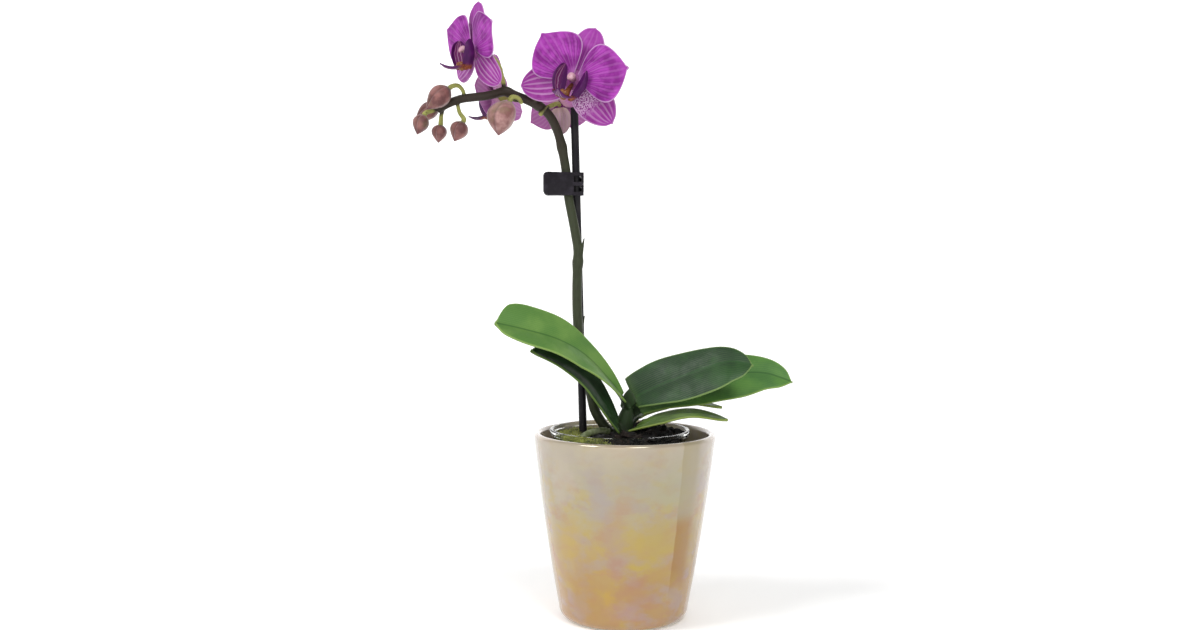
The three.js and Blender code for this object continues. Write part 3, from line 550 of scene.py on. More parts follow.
@dataclass(frozen=True)
class LustreGlaze(Finish):
    """Lustre-glazed earthenware, fired twice: a pearly metal film that drifts from lilac grey to gold."""

    height: float = 92.0
    girth: float = 38.0
    bare_foot: float = 0.9
    # Each pool of colour: place round the pot and height, half width and half height, colour, strength
    pools: tuple[tuple[float, float, float, float, str, float], ...] = (
        (-12, 68, 7, 20, "#b3a8b0", 0.7), (-4, 48, 7, 16, "#b99c92", 0.55), (4, 70, 12, 14, "#b4ada6", 0.45),
        (14, 46, 15, 12, "#c4ac5c", 0.6), (-28, 40, 9, 22, "#ccae62", 0.55), (-30, 74, 9, 14, "#cfc3bb", 0.5),
        (6, 20, 14, 10, "#b98a74", 0.6), (-22, 18, 10, 18, "#bd9450", 0.5), (-9, 14, 4, 7, "#cda844", 0.6),
        (20, 28, 9, 8, "#c09a50", 0.5),
        (22, 70, 10, 14, "#b9b79c", 0.5), (10, 34, 7, 5, "#c8b04e", 0.6), (-6, 34, 5, 8, "#b98f80", 0.6),
        (0, 9, 12, 5, "#b990a0", 0.4),
    )

    def paint(self, tree: Tree, shader: dict[str, bpy.types.NodeSocket]) -> None:
        """Paints the drift from top to foot, cloudy pools of colour and a slow wave in the gloss."""
        place = tree.add("TexCoord", out="Object")
        axes = tree.add("SeparateXYZ", {0: place}).node.outputs
        turn = tree.math("ARCTAN2", axes[0], tree.math("MULTIPLY", axes[1], -1.0))
        around = tree.math("MULTIPLY", turn, self.girth * MM)
        flat = tree.add("CombineXYZ", {0: around, 1: axes[2]})
        wandering = flat
        for size, reach in ((15, 16), (4, 9)):
            drift = tree.noise(size, 4.0, (1, 1, 1.3), "Color")
            drift = tree.add("VectorMath", {0: drift, 1: (-0.5, -0.5, -0.5)}, operation="ADD")
            drift = tree.add("VectorMath", {0: drift, "Scale": reach * MM}, operation="SCALE")
            wandering = tree.add("VectorMath", {0: wandering, 1: drift}, operation="ADD")
        level = tree.add("SeparateXYZ", {0: wandering}).node.outputs[1]
        level = tree.math("MULTIPLY", level, 1 / (self.height * MM))
        colour = tree.add("ValToRGB", {0: level}, stops=(
            (0.0, "#bd9668"), (0.25, "#be9b66"), (0.45, "#c2a874"), (0.62, "#bfb292"), (0.8, "#bbb3a4"),
            (1.0, "#c6bcb2"),
        ))
        busy = tree.fade(level, 1.05, 0.6, (0.25, 1.0))
        for tint, size, share in (("#c8ae52", 10, 0.5), ("#bd8878", 12, 0.42), ("#b3a3b3", 14, 0.5)):
            patches = tree.fade(tree.noise(size, 4.0, (1, 1, 1.6)), 0.48, 0.66, (0.0, share))
            veil = tree.math("MULTIPLY", patches, busy)
            colour = tree.mix(veil, colour, tint)
        for x, z, wide, tall, tint, strength in self.pools:
            away = tree.add("VectorMath", {0: wandering, 1: (x * MM, z * MM, 0)}, operation="SUBTRACT")
            shrink = (1 / (wide * MM), 1 / (tall * MM), 0)
            away = tree.add("VectorMath", {0: away, 1: shrink}, operation="MULTIPLY")
            away = tree.add("VectorMath", {0: away}, "Value", operation="LENGTH")
            colour = tree.mix(tree.fade(away, 1.25, 0.25, (0.0, strength)), colour, tint)
        # A painted reflection of a dark gap beside the lights: a band down the right, grey above and golden
        # below
        across = tree.math("MULTIPLY_ADD", tree.noise(7, 2.0), 1.5 * MM, around)
        run = tree.math("MULTIPLY", tree.fade(across, 25 * MM, 26 * MM), tree.fade(across, 39 * MM, 33 * MM))
        run = tree.math("MULTIPLY", run, tree.fade(axes[2], 12 * MM, 32 * MM, (0.0, 0.75)))
        colour = tree.mix(run, colour, tree.mix(tree.fade(axes[2], 50 * MM, 60 * MM), "#a8781e", "#b0a488"))
        # The film swallows some of the light
        colour = tree.mix(1.0, colour, "#dfdaca", "MULTIPLY")
        # The foot that stood in the kiln has no glaze
        bare = tree.fade(axes[2], self.bare_foot * MM, self.bare_foot * MM / 3)
        colour = tree.mix(bare, colour, "#d9cdb6")
        self.link(tree, colour, shader, tree.noise(16, 2.0), 0.35)
        shader["Metallic"].default_value = 0.2
        shader["Coat Weight"].default_value = 0.7
        shader["Coat Roughness"].default_value = 0.03
        shader["Thin Film Thickness"].default_value = 380.0
        shader["Thin Film IOR"].default_value = 1.45


@dataclass(frozen=True)
class ClearPlastic(Finish):
    """Clear polypropylene, thermoformed thin: it shows as a pale rim that takes the light on its edge."""

    def paint(self, tree: Tree, shader: dict[str, bpy.types.NodeSocket]) -> None:
        """Paints a faint haze of scratches and water marks."""
        marks = tree.fade(tree.noise(5, 5.0), 0.4, 0.7)
        self.link(tree, tree.mix(marks, "#fbfdfb", "#eef2ee"), shader, tree.noise(4, 2.0), 0.02)
        shader["Transmission Weight"].default_value = 1.0


@dataclass(frozen=True)
class PineBark(Finish):
    """Composted pine bark, broken and damp: near black with a few torn brown faces."""

    def paint(self, tree: Tree, shader: dict[str, bpy.types.NodeSocket]) -> None:
        """Paints wet dark bark with brown tears and a layered grain."""
        torn = tree.fade(tree.noise(6, 4.0), 0.5, 0.68)
        colour = tree.mix(torn, "#100e0d", "#241a14")
        colour = tree.mix(tree.fade(tree.noise(1.6, 5.0), 0.55, 0.75, (0.0, 0.6)), colour, "#3f2f25")
        self.link(tree, colour, shader, tree.noise(1.8, 6.0, (1, 1, 2.6)), 0.6)


@dataclass(frozen=True)
class SheetMoss(Finish):
    """Living sheet moss: small yellow-green fronds over a darker, damp mat."""

    light: str = "#9da24a"
    dark: str = "#4a5220"

    def paint(self, tree: Tree, shader: dict[str, bpy.types.NodeSocket]) -> None:
        """Paints drier and damper patches."""
        colour = tree.mix(tree.fade(tree.noise(4, 4.0), 0.35, 0.62), self.dark, self.light)
        colour = tree.mix(tree.fade(tree.noise(1.2, 3.0), 0.55, 0.7, (0.0, 0.5)), colour, "#c0bb62")
        self.link(tree, colour, shader, tree.noise(0.6, 4.0), 0.3)
        shader["Sheen Weight"].default_value = 0.2


@dataclass(frozen=True)
class Velamen(Finish):
    """Aerial root under its spongy velamen: silvery and dull, with green showing through."""

    def paint(self, tree: Tree, shader: dict[str, bpy.types.NodeSocket]) -> None:
        """Paints silver over green with fine cross cracks."""
        colour = tree.mix(tree.fade(tree.noise(3.5, 4.0), 0.4, 0.62), "#5c6740", "#7f8768")
        colour = tree.mix(tree.fade(tree.noise(0.7, 3.0), 0.58, 0.7, (0.0, 0.6)), colour, "#4d5236")
        self.link(tree, colour, shader, tree.noise(0.9, 5.0), 0.12)


@dataclass(frozen=True)
class LeafSkin(Finish):
    """Waxy living leaf: a tough cuticle over green tissue, with a sunken midrib and faint long veins."""

    light: str = "#6c9a4a"
    dark: str = "#47763a"
    under: str = "#6f9150"
    edge: str = "#8fae58"
    vein_spacing: float = 1.1

    def paint(self, tree: Tree, shader: dict[str, bpy.types.NodeSocket]) -> None:
        """Paints mottled green, long veins, the midrib, the margin and the paler underside."""
        along, aside, margin, back = (tree.value(name) for name in ("along", "aside", "margin", "back"))
        colour = tree.mix(tree.fade(tree.noise(16, 3.0), 0.36, 0.64), self.dark, self.light)
        colour = tree.mix(tree.fade(tree.noise(2.2, 5.0), 0.5, 0.75, (0.0, 0.15)), colour, self.dark)
        # Long veins side by side, counted from the midrib
        wander = tree.math("MULTIPLY", tree.noise(8, 2.0), 4.2)
        wave = tree.math("SINE", tree.math("MULTIPLY_ADD", aside, TAU / self.vein_spacing, wander))
        lines = tree.fade(wave, 0.2, 1.0)
        colour = tree.mix(tree.math("MULTIPLY", lines, 0.1), colour, self.edge)
        rib = tree.fade(aside, 0.95, 0.2)
        upper = tree.math("SUBTRACT", 1.0, back)
        colour = tree.mix(tree.math("MULTIPLY", tree.math("MULTIPLY", rib, upper), 0.55), colour, "#2c4f26")
        colour = tree.mix(tree.fade(along, 0.2, 0.0, (0.0, 0.6)), colour, self.edge)
        low = tree.mix(tree.math("MULTIPLY", lines, 0.1), self.under, self.dark)
        low = tree.mix(tree.math("MULTIPLY", rib, 0.5), low, "#8dab63")
        colour = tree.mix(back, colour, low)
        colour = tree.mix(tree.fade(margin, 0.8, 0.0, (0.0, 0.7)), colour, self.edge)
        grain = tree.math("MULTIPLY_ADD", tree.noise(0.55, 3.0), 0.5, tree.math("MULTIPLY", wave, 0.12))
        relief = tree.math("MULTIPLY_ADD", tree.noise(5, 2.0), 1.6, grain)
        self.link(tree, colour, shader, relief, 0.1)
        gloss = tree.fade(tree.noise(5, 3.0), 0.35, 0.7, (self.roughness - 0.04, self.roughness + 0.08))
        tree.tree.links.new(gloss, shader["Roughness"])


@dataclass(frozen=True)
class StemSkin(Finish):
    """Flower stem: smooth hard skin, olive where the sun reached it and lime where it is young. The leaf
    sheath's copy has dark greens instead, painted shade, with its young colour darker still at the stem's
    foot.
    """

    old: str = "#363c29"
    brown: str = "#382f28"
    young: str = "#9a9c56"
    flush_heights: tuple[float, float] = (225.0, 265.0)

    def paint(self, tree: Tree, shader: dict[str, bpy.types.NodeSocket]) -> None:
        """Paints the brown flush on the arch, lime stalks and fine dark flecks along the stem."""
        height = tree.add("SeparateXYZ", {0: tree.add("TexCoord", out="Object")}).node.outputs[2]
        low, high = (level * MM for level in self.flush_heights)
        flush = tree.fade(tree.math("MULTIPLY_ADD", tree.noise(9, 3.0), 30 * MM, height), low, high)
        colour = tree.mix(flush, self.old, self.brown)
        streaks = tree.fade(tree.noise(1.5, 4.0, (2.2, 2.2, 0.5)), 0.45, 0.7, (0.0, 0.5))
        colour = tree.mix(streaks, colour, "#2b2d20")
        colour = tree.mix(tree.value("young"), colour, self.young)
        flecks = tree.fade(tree.noise(0.8, 2.0), 0.62, 0.7, (0.0, 0.5))
        colour = tree.mix(flecks, colour, "#3a2a2c")
        self.link(tree, colour, shader, tree.noise(1.1, 4.0, (1.8, 1.8, 0.5)), 0.08)


@dataclass(frozen=True)
class TepalSkin(Finish):
    """Petal or sepal: thin, faintly sparkling tissue with veins that run from its foot to its margin."""

    deep: str = "#7a1c7c"
    bright: str = "#a63eaa"
    pale: str = "#c48fc6"
    margin: str = "#c79fc9"
    behind: str = "#b06ca8"
    tip: str = "#98389c"
    veins: float = 5.0
    stripes: float = 0.12
    threads: float = 0.5
    speckles: float = 0.0

    def paint(self, tree: Tree, shader: dict[str, bpy.types.NodeSocket]) -> None:
        """Paints veins, the thin pale margin, the foot, speckles and the paler back."""
        fan, along, margin, back = (tree.value(name) for name in ("fan", "along", "margin", "back"))
        cloud = tree.noise(6, 3.0)
        colour = tree.mix(tree.fade(cloud, 0.34, 0.66), self.deep, self.bright)
        colour = tree.mix(tree.fade(along, 0.7, 1.0, (0.0, 0.5)), colour, self.tip)
        phase = tree.math("MULTIPLY_ADD", fan, self.veins * TAU, tree.math("MULTIPLY", cloud, 2.4))
        wave = tree.math("SINE", phase)
        inside = tree.fade(margin, 0.4, 3.0)
        ribs = tree.math("MULTIPLY", tree.fade(wave, -0.2, 1.0), inside)
        colour = tree.mix(tree.math("MULTIPLY", ribs, self.stripes), colour, self.pale)
        wander = tree.math("MULTIPLY", tree.noise(2.4, 2.0), 5.0)
        fine = tree.math("SINE", tree.math("MULTIPLY_ADD", phase, 2.0, wander))
        thread = tree.math("MULTIPLY", tree.fade(fine, 0.35, 1.0), self.threads)
        colour = tree.mix(tree.math("MULTIPLY", thread, tree.fade(along, 0.95, 0.3)), colour, "#55115c")
        colour = tree.mix(tree.fade(along, 0.16, 0.0, (0.0, 0.45)), colour, self.pale)
        if self.speckles:
            near = tree.fade(along, 0.66, 0.36, (0.0, self.speckles))
            dots = tree.fade(tree.noise(0.62, 1.0), 0.47, 0.54)
            colour = tree.mix(near, colour, tree.mix(dots, "#cfaecd", "#74296f"))
        colour = tree.mix(tree.fade(margin, 0.75, 0.1, (0.0, 0.75)), colour, self.margin)
        rear = tree.mix(tree.math("MULTIPLY", ribs, 0.25), self.behind, "#cfa3cb")
        rear = tree.mix(tree.fade(along, 0.3, 0.0, (0.0, 0.5)), rear, "#c3a796")
        colour = tree.mix(back, colour, rear)
        relief = tree.math("MULTIPLY_ADD", wave, 0.14, tree.math("MULTIPLY", tree.noise(0.7, 3.0), 0.5))
        self.link(tree, colour, shader, relief, 0.14)
        shader["Sheen Weight"].default_value = 0.06
        shader["Sheen Roughness"].default_value = 0.4
        shader["Sheen Tint"].default_value = linear("#e9b9ea")


@dataclass(frozen=True)
class LobeSkin(Finish):
    """Lip lobe: thicker velvety tissue, near black violet outside and streaked pink inside."""

    outer: str = "#420c48"
    inner: str = "#7a2f6c"
    rim: str = "#520d5a"
    foot: str = "#8a4a28"
    foot_reach: float = 0.12
    streaks: float = 17.0

    def paint(self, tree: Tree, shader: dict[str, bpy.types.NodeSocket]) -> None:
        """Paints the dark outside, streaked inside, the rim and the warm foot with its spots."""
        along, across, back = (tree.value(name) for name in ("along", "across", "back"))
        wander = tree.math("MULTIPLY", tree.noise(3, 3.0), 5.0)
        streak = tree.math("SINE", tree.math("MULTIPLY_ADD", across, self.streaks, wander))
        inside = tree.mix(tree.fade(streak, 0.35, 1.0, (0.0, 0.6)), self.inner, "#cfa6c6")
        edge = tree.fade(tree.math("ABSOLUTE", across), 0.3, 0.75)
        inside = tree.mix(edge, inside, self.rim)
        outside = tree.mix(tree.fade(tree.noise(2.5, 4.0), 0.4, 0.75, (0.0, 0.5)), self.outer, "#5c1a60")
        colour = tree.mix(back, inside, outside)
        warm = tree.fade(along, self.foot_reach * 1.6, self.foot_reach * 0.6)
        spots = tree.fade(tree.noise(0.9, 2.0), 0.5, 0.58, (0.0, 0.8))
        colour = tree.mix(warm, colour, tree.mix(spots, self.foot, "#5f2416"))
        self.link(tree, colour, shader, tree.noise(0.8, 4.0), 0.1)


@dataclass(frozen=True)
class WaxyFlesh(Finish):
    """Column or callus: solid waxy flower tissue that holds a soft gloss."""

    main: str = "#e3bfc9"
    flush: str = "#b5568f"
    spot: str = "#8a3a5c"
    spots: float = 0.4

    def paint(self, tree: Tree, shader: dict[str, bpy.types.NodeSocket]) -> None:
        """Paints a flush towards the foot and small spots."""
        along = tree.value("along")
        colour = tree.mix(tree.fade(along, 0.55, 0.1, (0.0, 0.85)), self.main, self.flush)
        colour = tree.mix(tree.fade(tree.noise(2.2, 3.0), 0.4, 0.7, (0.0, 0.4)), colour, self.flush)
        colour = tree.mix(tree.fade(tree.noise(0.8, 1.0), 0.56, 0.62, (0.0, self.spots)), colour, self.spot)
        self.link(tree, colour, shader, tree.noise(0.9, 3.0), 0.08)
        shader["Coat Weight"].default_value = 0.15


@dataclass(frozen=True)
class BudSkin(Finish):
    """Closed bud: powdery sepals folded edge to edge, dusty rose over green."""

    light: str = "#b48a86"
    dark: str = "#80524f"
    green: str = "#74703f"

    def paint(self, tree: Tree, shader: dict[str, bpy.types.NodeSocket]) -> None:
        """Paints the rose flush, the green foot and seams, and fine long veins."""
        along, seam = tree.value("along"), tree.value("seam")
        colour = tree.mix(tree.fade(tree.noise(6, 3.0), 0.36, 0.66), self.dark, self.light)
        colour = tree.mix(tree.fade(tree.noise(7, 2.0), 0.52, 0.7, (0.0, 0.4)), colour, self.green)
        colour = tree.mix(tree.fade(along, 0.26, 0.0, (0.0, 0.75)), colour, self.green)
        colour = tree.mix(tree.fade(along, 0.75, 1.0, (0.0, 0.5)), colour, "#6a3640")
        colour = tree.mix(tree.math("MULTIPLY", seam, 0.5), colour, "#4d2c2b")
        vein = tree.fade(tree.noise(0.9, 3.0, (2.4, 2.4, 0.5)), 0.5, 0.75, (0.0, 0.2))
        colour = tree.mix(vein, colour, "#5f3837")
        relief = tree.math("MULTIPLY_ADD", tree.noise(0.8, 4.0), 0.6, tree.math("MULTIPLY", seam, -0.8))
        self.link(tree, colour, shader, relief, 0.16)
        shader["Sheen Weight"].default_value = 0.35
        shader["Sheen Roughness"].default_value = 0.45


@dataclass(frozen=True)
class MouldedPlastic(Finish):
    """Moulded polypropylene, near black: a satin skin with fine flow marks and rubbed edges."""

    main: str = "#18141b"
    worn: str = "#2a262e"
    stretch: tuple[float, float, float] = (1, 1, 1)

    def paint(self, tree: Tree, shader: dict[str, bpy.types.NodeSocket]) -> None:
        """Paints flow marks, rubbed places and a fine moulded grain."""
        colour = tree.mix(tree.fade(tree.noise(5, 5.0, self.stretch), 0.42, 0.7), self.main, self.worn)
        self.link(tree, colour, shader, tree.noise(0.5, 3.0), 0.03)
        gloss = (self.roughness - 0.08, self.roughness + 0.12)
        rubbed = tree.fade(tree.noise(3, 4.0, self.stretch), 0.35, 0.7, gloss)
        tree.tree.links.new(rubbed, shader["Roughness"])


@dataclass(frozen=True)
class SpringSteel(Finish):
    """Bright drawn spring wire: a polished metal with fine lines along the draw."""

    def paint(self, tree: Tree, shader: dict[str, bpy.types.NodeSocket]) -> None:
        """Paints slight tarnish and drawing lines."""
        colour = tree.mix(tree.fade(tree.noise(1.5, 4.0), 0.4, 0.7), "#a7a8ab", "#7d7a78")
        self.link(tree, colour, shader, tree.noise(0.3, 2.0), 0.01)
        shader["Metallic"].default_value = 1.0


@dataclass(frozen=True)
class StudioPaper(Finish):
    """Matt white studio paper that glows a little, painted light that keeps the shadows on it pale."""

    def paint(self, tree: Tree, shader: dict[str, bpy.types.NodeSocket]) -> None:
        """Paints a barely visible paper tone."""
        self.link(tree, tree.mix(tree.noise(60, 2.0), "#fafafa", "#fcfcfc"), shader)
        # Painted light: a faint glow that lifts the shadows on the paper and lights the pot a little
        shader["Emission Color"].default_value = linear("#ffffff")
        shader["Emission Strength"].default_value = 0.16


class Finishes:
    """The finishes that the pieces share."""

    glaze = LustreGlaze("lustre-glazed earthenware", 0.2, 1.5)
    clear = ClearPlastic("clear polypropylene", 0.04, 1.12)
    bark = PineBark("composted pine bark", 0.85)
    moss = SheetMoss("sheet moss", 0.9)
    moss_mat = SheetMoss("damp moss mat", 0.95, light="#6f7534", dark="#3a4019")
    velamen = Velamen("root velamen", 0.75)
    leaf_young = LeafSkin(
        "young orchid leaf", 0.45, specular=0.2,
        light="#668a44", dark="#527a3a", under="#3a5429", edge="#8aa558",
    )
    # Painted shade: the lower left leaf has near-black greens for the shade it lies in under the upper leaf
    leaf_painted_shade = LeafSkin(
        "orchid leaf in painted shade", 0.45, specular=0.15,
        light="#2b4529", dark="#1d301c", under="#24361d", edge="#66803c",
    )
    leaf_long = LeafSkin(
        "long orchid leaf", 0.45, specular=0.2,
        light="#55803c", dark="#436b38", under="#3a582c", edge="#86a050",
    )
    leaf_right = LeafSkin(
        "upper orchid leaf", 0.42, specular=0.25,
        light="#2c4b29", dark="#203722", under="#34502a", edge="#7b9654",
    )
    leaf_shade = LeafSkin(
        "shaded orchid leaf", 0.45, specular=0.2,
        light="#54702c", dark="#3e5524", under="#344620", edge="#8a9a4c",
    )
    stem = StemSkin("flower stem skin", 0.42, specular=0.25)
    # Painted shade: the sheath has dark greens for the shade among the leaf bases, and its young colour, used
    # at the stem's foot, is darker still
    sheath = StemSkin("leaf sheath skin in painted shade", 0.5, specular=0.2, old="#2c3e24", brown="#2c3e24", young="#20291a")
    upper_sepal = TepalSkin(
        "upper sepal tissue", 0.55, specular=0.2, deep="#8b2d8b", bright="#a445a6", veins=3.5,
    )
    side_sepal = TepalSkin(
        "striped side sepal tissue", 0.55, specular=0.2, deep="#8c2f88", bright="#a54aa2", pale="#cfa2cf",
        veins=3.4, stripes=0.5, threads=0.3,
    )
    speckled_sepal = TepalSkin(
        "speckled side sepal tissue", 0.55, specular=0.2, deep="#872c83", bright="#9c439a", pale="#cfa2cf",
        veins=3.4, stripes=0.35, threads=0.3, speckles=0.75,
    )
    hanging_sepal = TepalSkin(
        "faded sepal tissue", 0.55, specular=0.2, behind="#bfa3a8", deep="#9a4f90", bright="#a85d9c",
        veins=3.5,
    )
    petal = TepalSkin("petal tissue", 0.52, specular=0.2, veins=5.5)
    side_lobe = LobeSkin("side lobe velvet", 0.5, specular=0.25)
    middle_lobe = LobeSkin(
        "middle lobe velvet", 0.5, specular=0.25, inner="#5a2158", foot="#7a3a1c", foot_reach=0.3,
    )
    callus = WaxyFlesh("callus flesh", 0.45, main="#8a5524", flush="#6d3120", spot="#4d1c12", spots=0.8)
    column = WaxyFlesh("column flesh", 0.45, main="#c9a0aa")
    throat = WaxyFlesh("throat flesh", 0.5, main="#8a3a80", flush="#6d2466", spot="#4c1050")
    bud = BudSkin("powdery bud skin", 0.5)
    young_bud = BudSkin(
        "young bud skin", 0.42, specular=0.35, light="#8f5f5a", dark="#5f3838", green="#5a5836",
    )
    stake = MouldedPlastic(
        "moulded stake polypropylene", 0.42, specular=0.2, main="#19171d", worn="#2b2a2b",
        stretch=(1, 1, 0.25),
    )
    clip = MouldedPlastic("moulded clip polypropylene", 0.4, specular=0.25)
    steel = SpringSteel("drawn spring steel", 0.28, None)
    paper = StudioPaper("studio paper", 0.9)


# Sub-assemblies


@dataclass
class Assembly:
    """What every sub-assembly does with its pieces."""

    def build(self) -> None:
        """Makes and dresses the sub-assembly's pieces."""
        raise NotImplementedError

    @staticmethod
    def dress(
        obj: bpy.types.Object, finishes: Sequence[Finish], slot: Slot, nodes: Sequence[str] = (),
        body: Body = Body.ROOT,
    ) -> bpy.types.Object:
        """Gives a piece what it needs to stand in the scene.

        Args:
            obj: the piece, in place.
            finishes: its finishes, in the order of its faces' numbers; none where it has them already.
            slot: the record's slot that it takes its finish from; not used.
            nodes: the CAD nodes that it stands for.
            body: the CAD body that it moves with.

        Returns:
            The same piece.
        """
        for finish in finishes:
            obj.data.materials.append(finish.material)
        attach(obj, body.value)
        if nodes:
            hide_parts(*nodes)
        LOG.info("%s: %d faces on %s", obj.name, len(obj.data.polygons), body.value)
        return obj


@dataclass
class CoverPot(Assembly):
    """Glazed ceramic pot."""

    height: float = 92.0
    rim_radius: float = 45.0
    base_radius: float = 31.0
    swell: float = 0.9
    wall: float = 3.5
    floor: float = 4.5
    heel: float = 6.0
    fillet: float = 5.0
    sides: int = 192

    def radius(self, z: Any) -> Any:
        """Outside radius at height z."""
        share = z / self.height
        return lerp(self.base_radius, self.rim_radius, share) + 4 * self.swell * share * (1 - share)

    def profile(self) -> list[tuple[float, float]]:
        """Half section, from the foot's middle up and over the lip to the floor's middle."""
        foot, lip = self.base_radius - self.heel + 1, self.wall / 2
        top = self.height - lip
        heel = [
            (foot + math.sin(a) * (self.radius(self.heel) - foot), self.heel * (1 - math.cos(a)))
            for a in np.linspace(0, math.pi / 2, 9)
        ]
        outside = [(self.radius(z), z) for z in np.linspace(self.heel, top, 30)[1:]]
        middle = self.radius(top) - lip
        rim = [(middle + math.cos(a) * lip, top + math.sin(a) * lip) for a in np.linspace(0, math.pi, 15)[1:]]
        low = self.floor + self.fillet
        inside = [(self.radius(z) - self.wall, z) for z in np.linspace(top, low, 24)[1:]]
        corner = self.radius(low) - self.wall - self.fillet
        fillet = [
            (corner + self.fillet * math.cos(a), low - self.fillet * math.sin(a))
            for a in np.linspace(0, math.pi / 2, 7)[1:]
        ]
        return [(foot * 0.9, 0.0), *heel, *outside, *rim, *inside, *fillet, (4.0, self.floor)]

    def build(self) -> None:
        """Makes the pot."""
        obj = turned(self.profile(), self.sides).object("ceramic_pot_glazed")
        self.dress(obj, [Finishes.glaze], Slot.POT_GLAZE, ["ceramic_pot"])


@dataclass
class NurseryPot(Assembly):
    """Clear pot that the plant grows in."""

    x: float = -2.5
    base: float = 4.8
    top: float = 93.5
    rim_radius: float = 34.5
    base_radius: float = 21.0
    wall: float = 0.9
    rim_height: float = 2.4
    drain_radius: float = 2.5
    drains: int = 4
    # Place of the drain holes, as a share of the base's radius, and the least angle of a sharp edge
    drain_share: float = 0.6
    crease: float = 40.0

    def radius(self, z: Any) -> Any:
        """Outside radius at height z."""
        return lerp(self.base_radius, self.rim_radius - 1, (z - self.base) / (self.top - self.base))

    def build(self) -> None:
        """Makes the pot with its rolled rim and drain holes."""
        rim, inside = self.top - self.rim_height, self.radius(self.top) - self.wall
        roll = [
            (self.rim_radius - 0.3, rim), (self.rim_radius, rim + 0.3), (self.rim_radius, self.top - 0.4),
            (self.rim_radius - 0.35, self.top), (inside + 0.3, self.top), (inside, self.top - 0.4),
        ]
        wall = [(self.radius(z), z) for z in np.linspace(self.base + 0.5, rim - 0.3, 14)]
        floor = self.base + self.wall
        back = [(self.radius(z) - self.wall, z) for z in np.linspace(self.top - 1.5, floor + 0.5, 14)]
        profile = [
            (3.0, self.base), (self.base_radius - 0.6, self.base), *wall, (self.radius(rim), rim),
            *roll, *back, (self.base_radius - self.wall - 0.5, floor), (3.0, floor),
        ]
        obj = turned(profile, 96, (self.x, 0)).object("nursery_pot_clear")
        rod = [(self.drain_radius, self.base - 2), (self.drain_radius, floor + 2)]
        rods = []
        for i in range(self.drains):
            turn = (i + 0.5) / self.drains * TAU
            x = self.x + math.cos(turn) * self.base_radius * self.drain_share
            y = math.sin(turn) * self.base_radius * self.drain_share
            rods.append(turned(rod, 20, (x, y)))
        cutter = Shape.joined(rods).object("drain_rods")
        cut = obj.modifiers.new("drain holes", "BOOLEAN")
        cut.operation, cut.solver, cut.object = "DIFFERENCE", "EXACT", cutter
        applied(obj)
        bpy.data.objects.remove(cutter)
        obj.data.polygons.foreach_set("material_index", [0] * len(obj.data.polygons))
        obj.data.set_sharp_from_angle(angle=math.radians(self.crease))
        self.dress(obj, [Finishes.clear], Slot.CLEAR_PLASTIC, ["nursery_pot"])


def scatter(obj: bpy.types.Object, tree: bpy.types.NodeTree, settings: dict[str, Any]) -> bpy.types.Object:
    """Runs a Geometry Nodes tree on an object and keeps its result as a plain mesh.

    Args:
        obj: the object that the tree works on.
        tree: the tree.
        settings: a value for each named input.

    Returns:
        The object with its new mesh.
    """
    modifier = obj.modifiers.new(tree.name, "NODES")
    modifier.node_group = tree
    for item in tree.interface.items_tree:
        if item.item_type == "SOCKET" and item.in_out == "INPUT" and item.name in settings:
            modifier[item.identifier] = settings[item.name]
    return applied(obj)


def node_tree(
    name: str, inputs: dict[str, str],
) -> tuple[Tree, dict[str, bpy.types.NodeSocket], Callable[[Any], None]]:
    """Starts a Geometry Nodes tree.

    Args:
        name: its name.
        inputs: the kind of socket of each named input besides the geometry.

    Returns:
        The tree, its inputs by name, and a function that ends it with its material and output.
    """
    group = bpy.data.node_groups.new(name, "GeometryNodeTree")
    group.interface.new_socket("Geometry", in_out="INPUT", socket_type="NodeSocketGeometry")
    for label, kind in {**inputs, "Finish": "Material"}.items():
        group.interface.new_socket(label, in_out="INPUT", socket_type="NodeSocket" + kind)
    group.interface.new_socket("Geometry", in_out="OUTPUT", socket_type="NodeSocketGeometry")
    tree = Tree(group, "GeometryNode")
    given = {socket.name: socket for socket in tree.add("NodeGroupInput").node.outputs}

    def end(geometry: bpy.types.NodeSocket) -> None:
        """Gives the geometry its material and sends it out."""
        dressed = tree.add("SetMaterial", {"Geometry": geometry, "Material": given["Finish"]})
        smooth_shaded = tree.add("SetShadeSmooth", {"Geometry": dressed})
        group.links.new(smooth_shaded, group.nodes.new("NodeGroupOutput").inputs[0])

    return tree, given, end


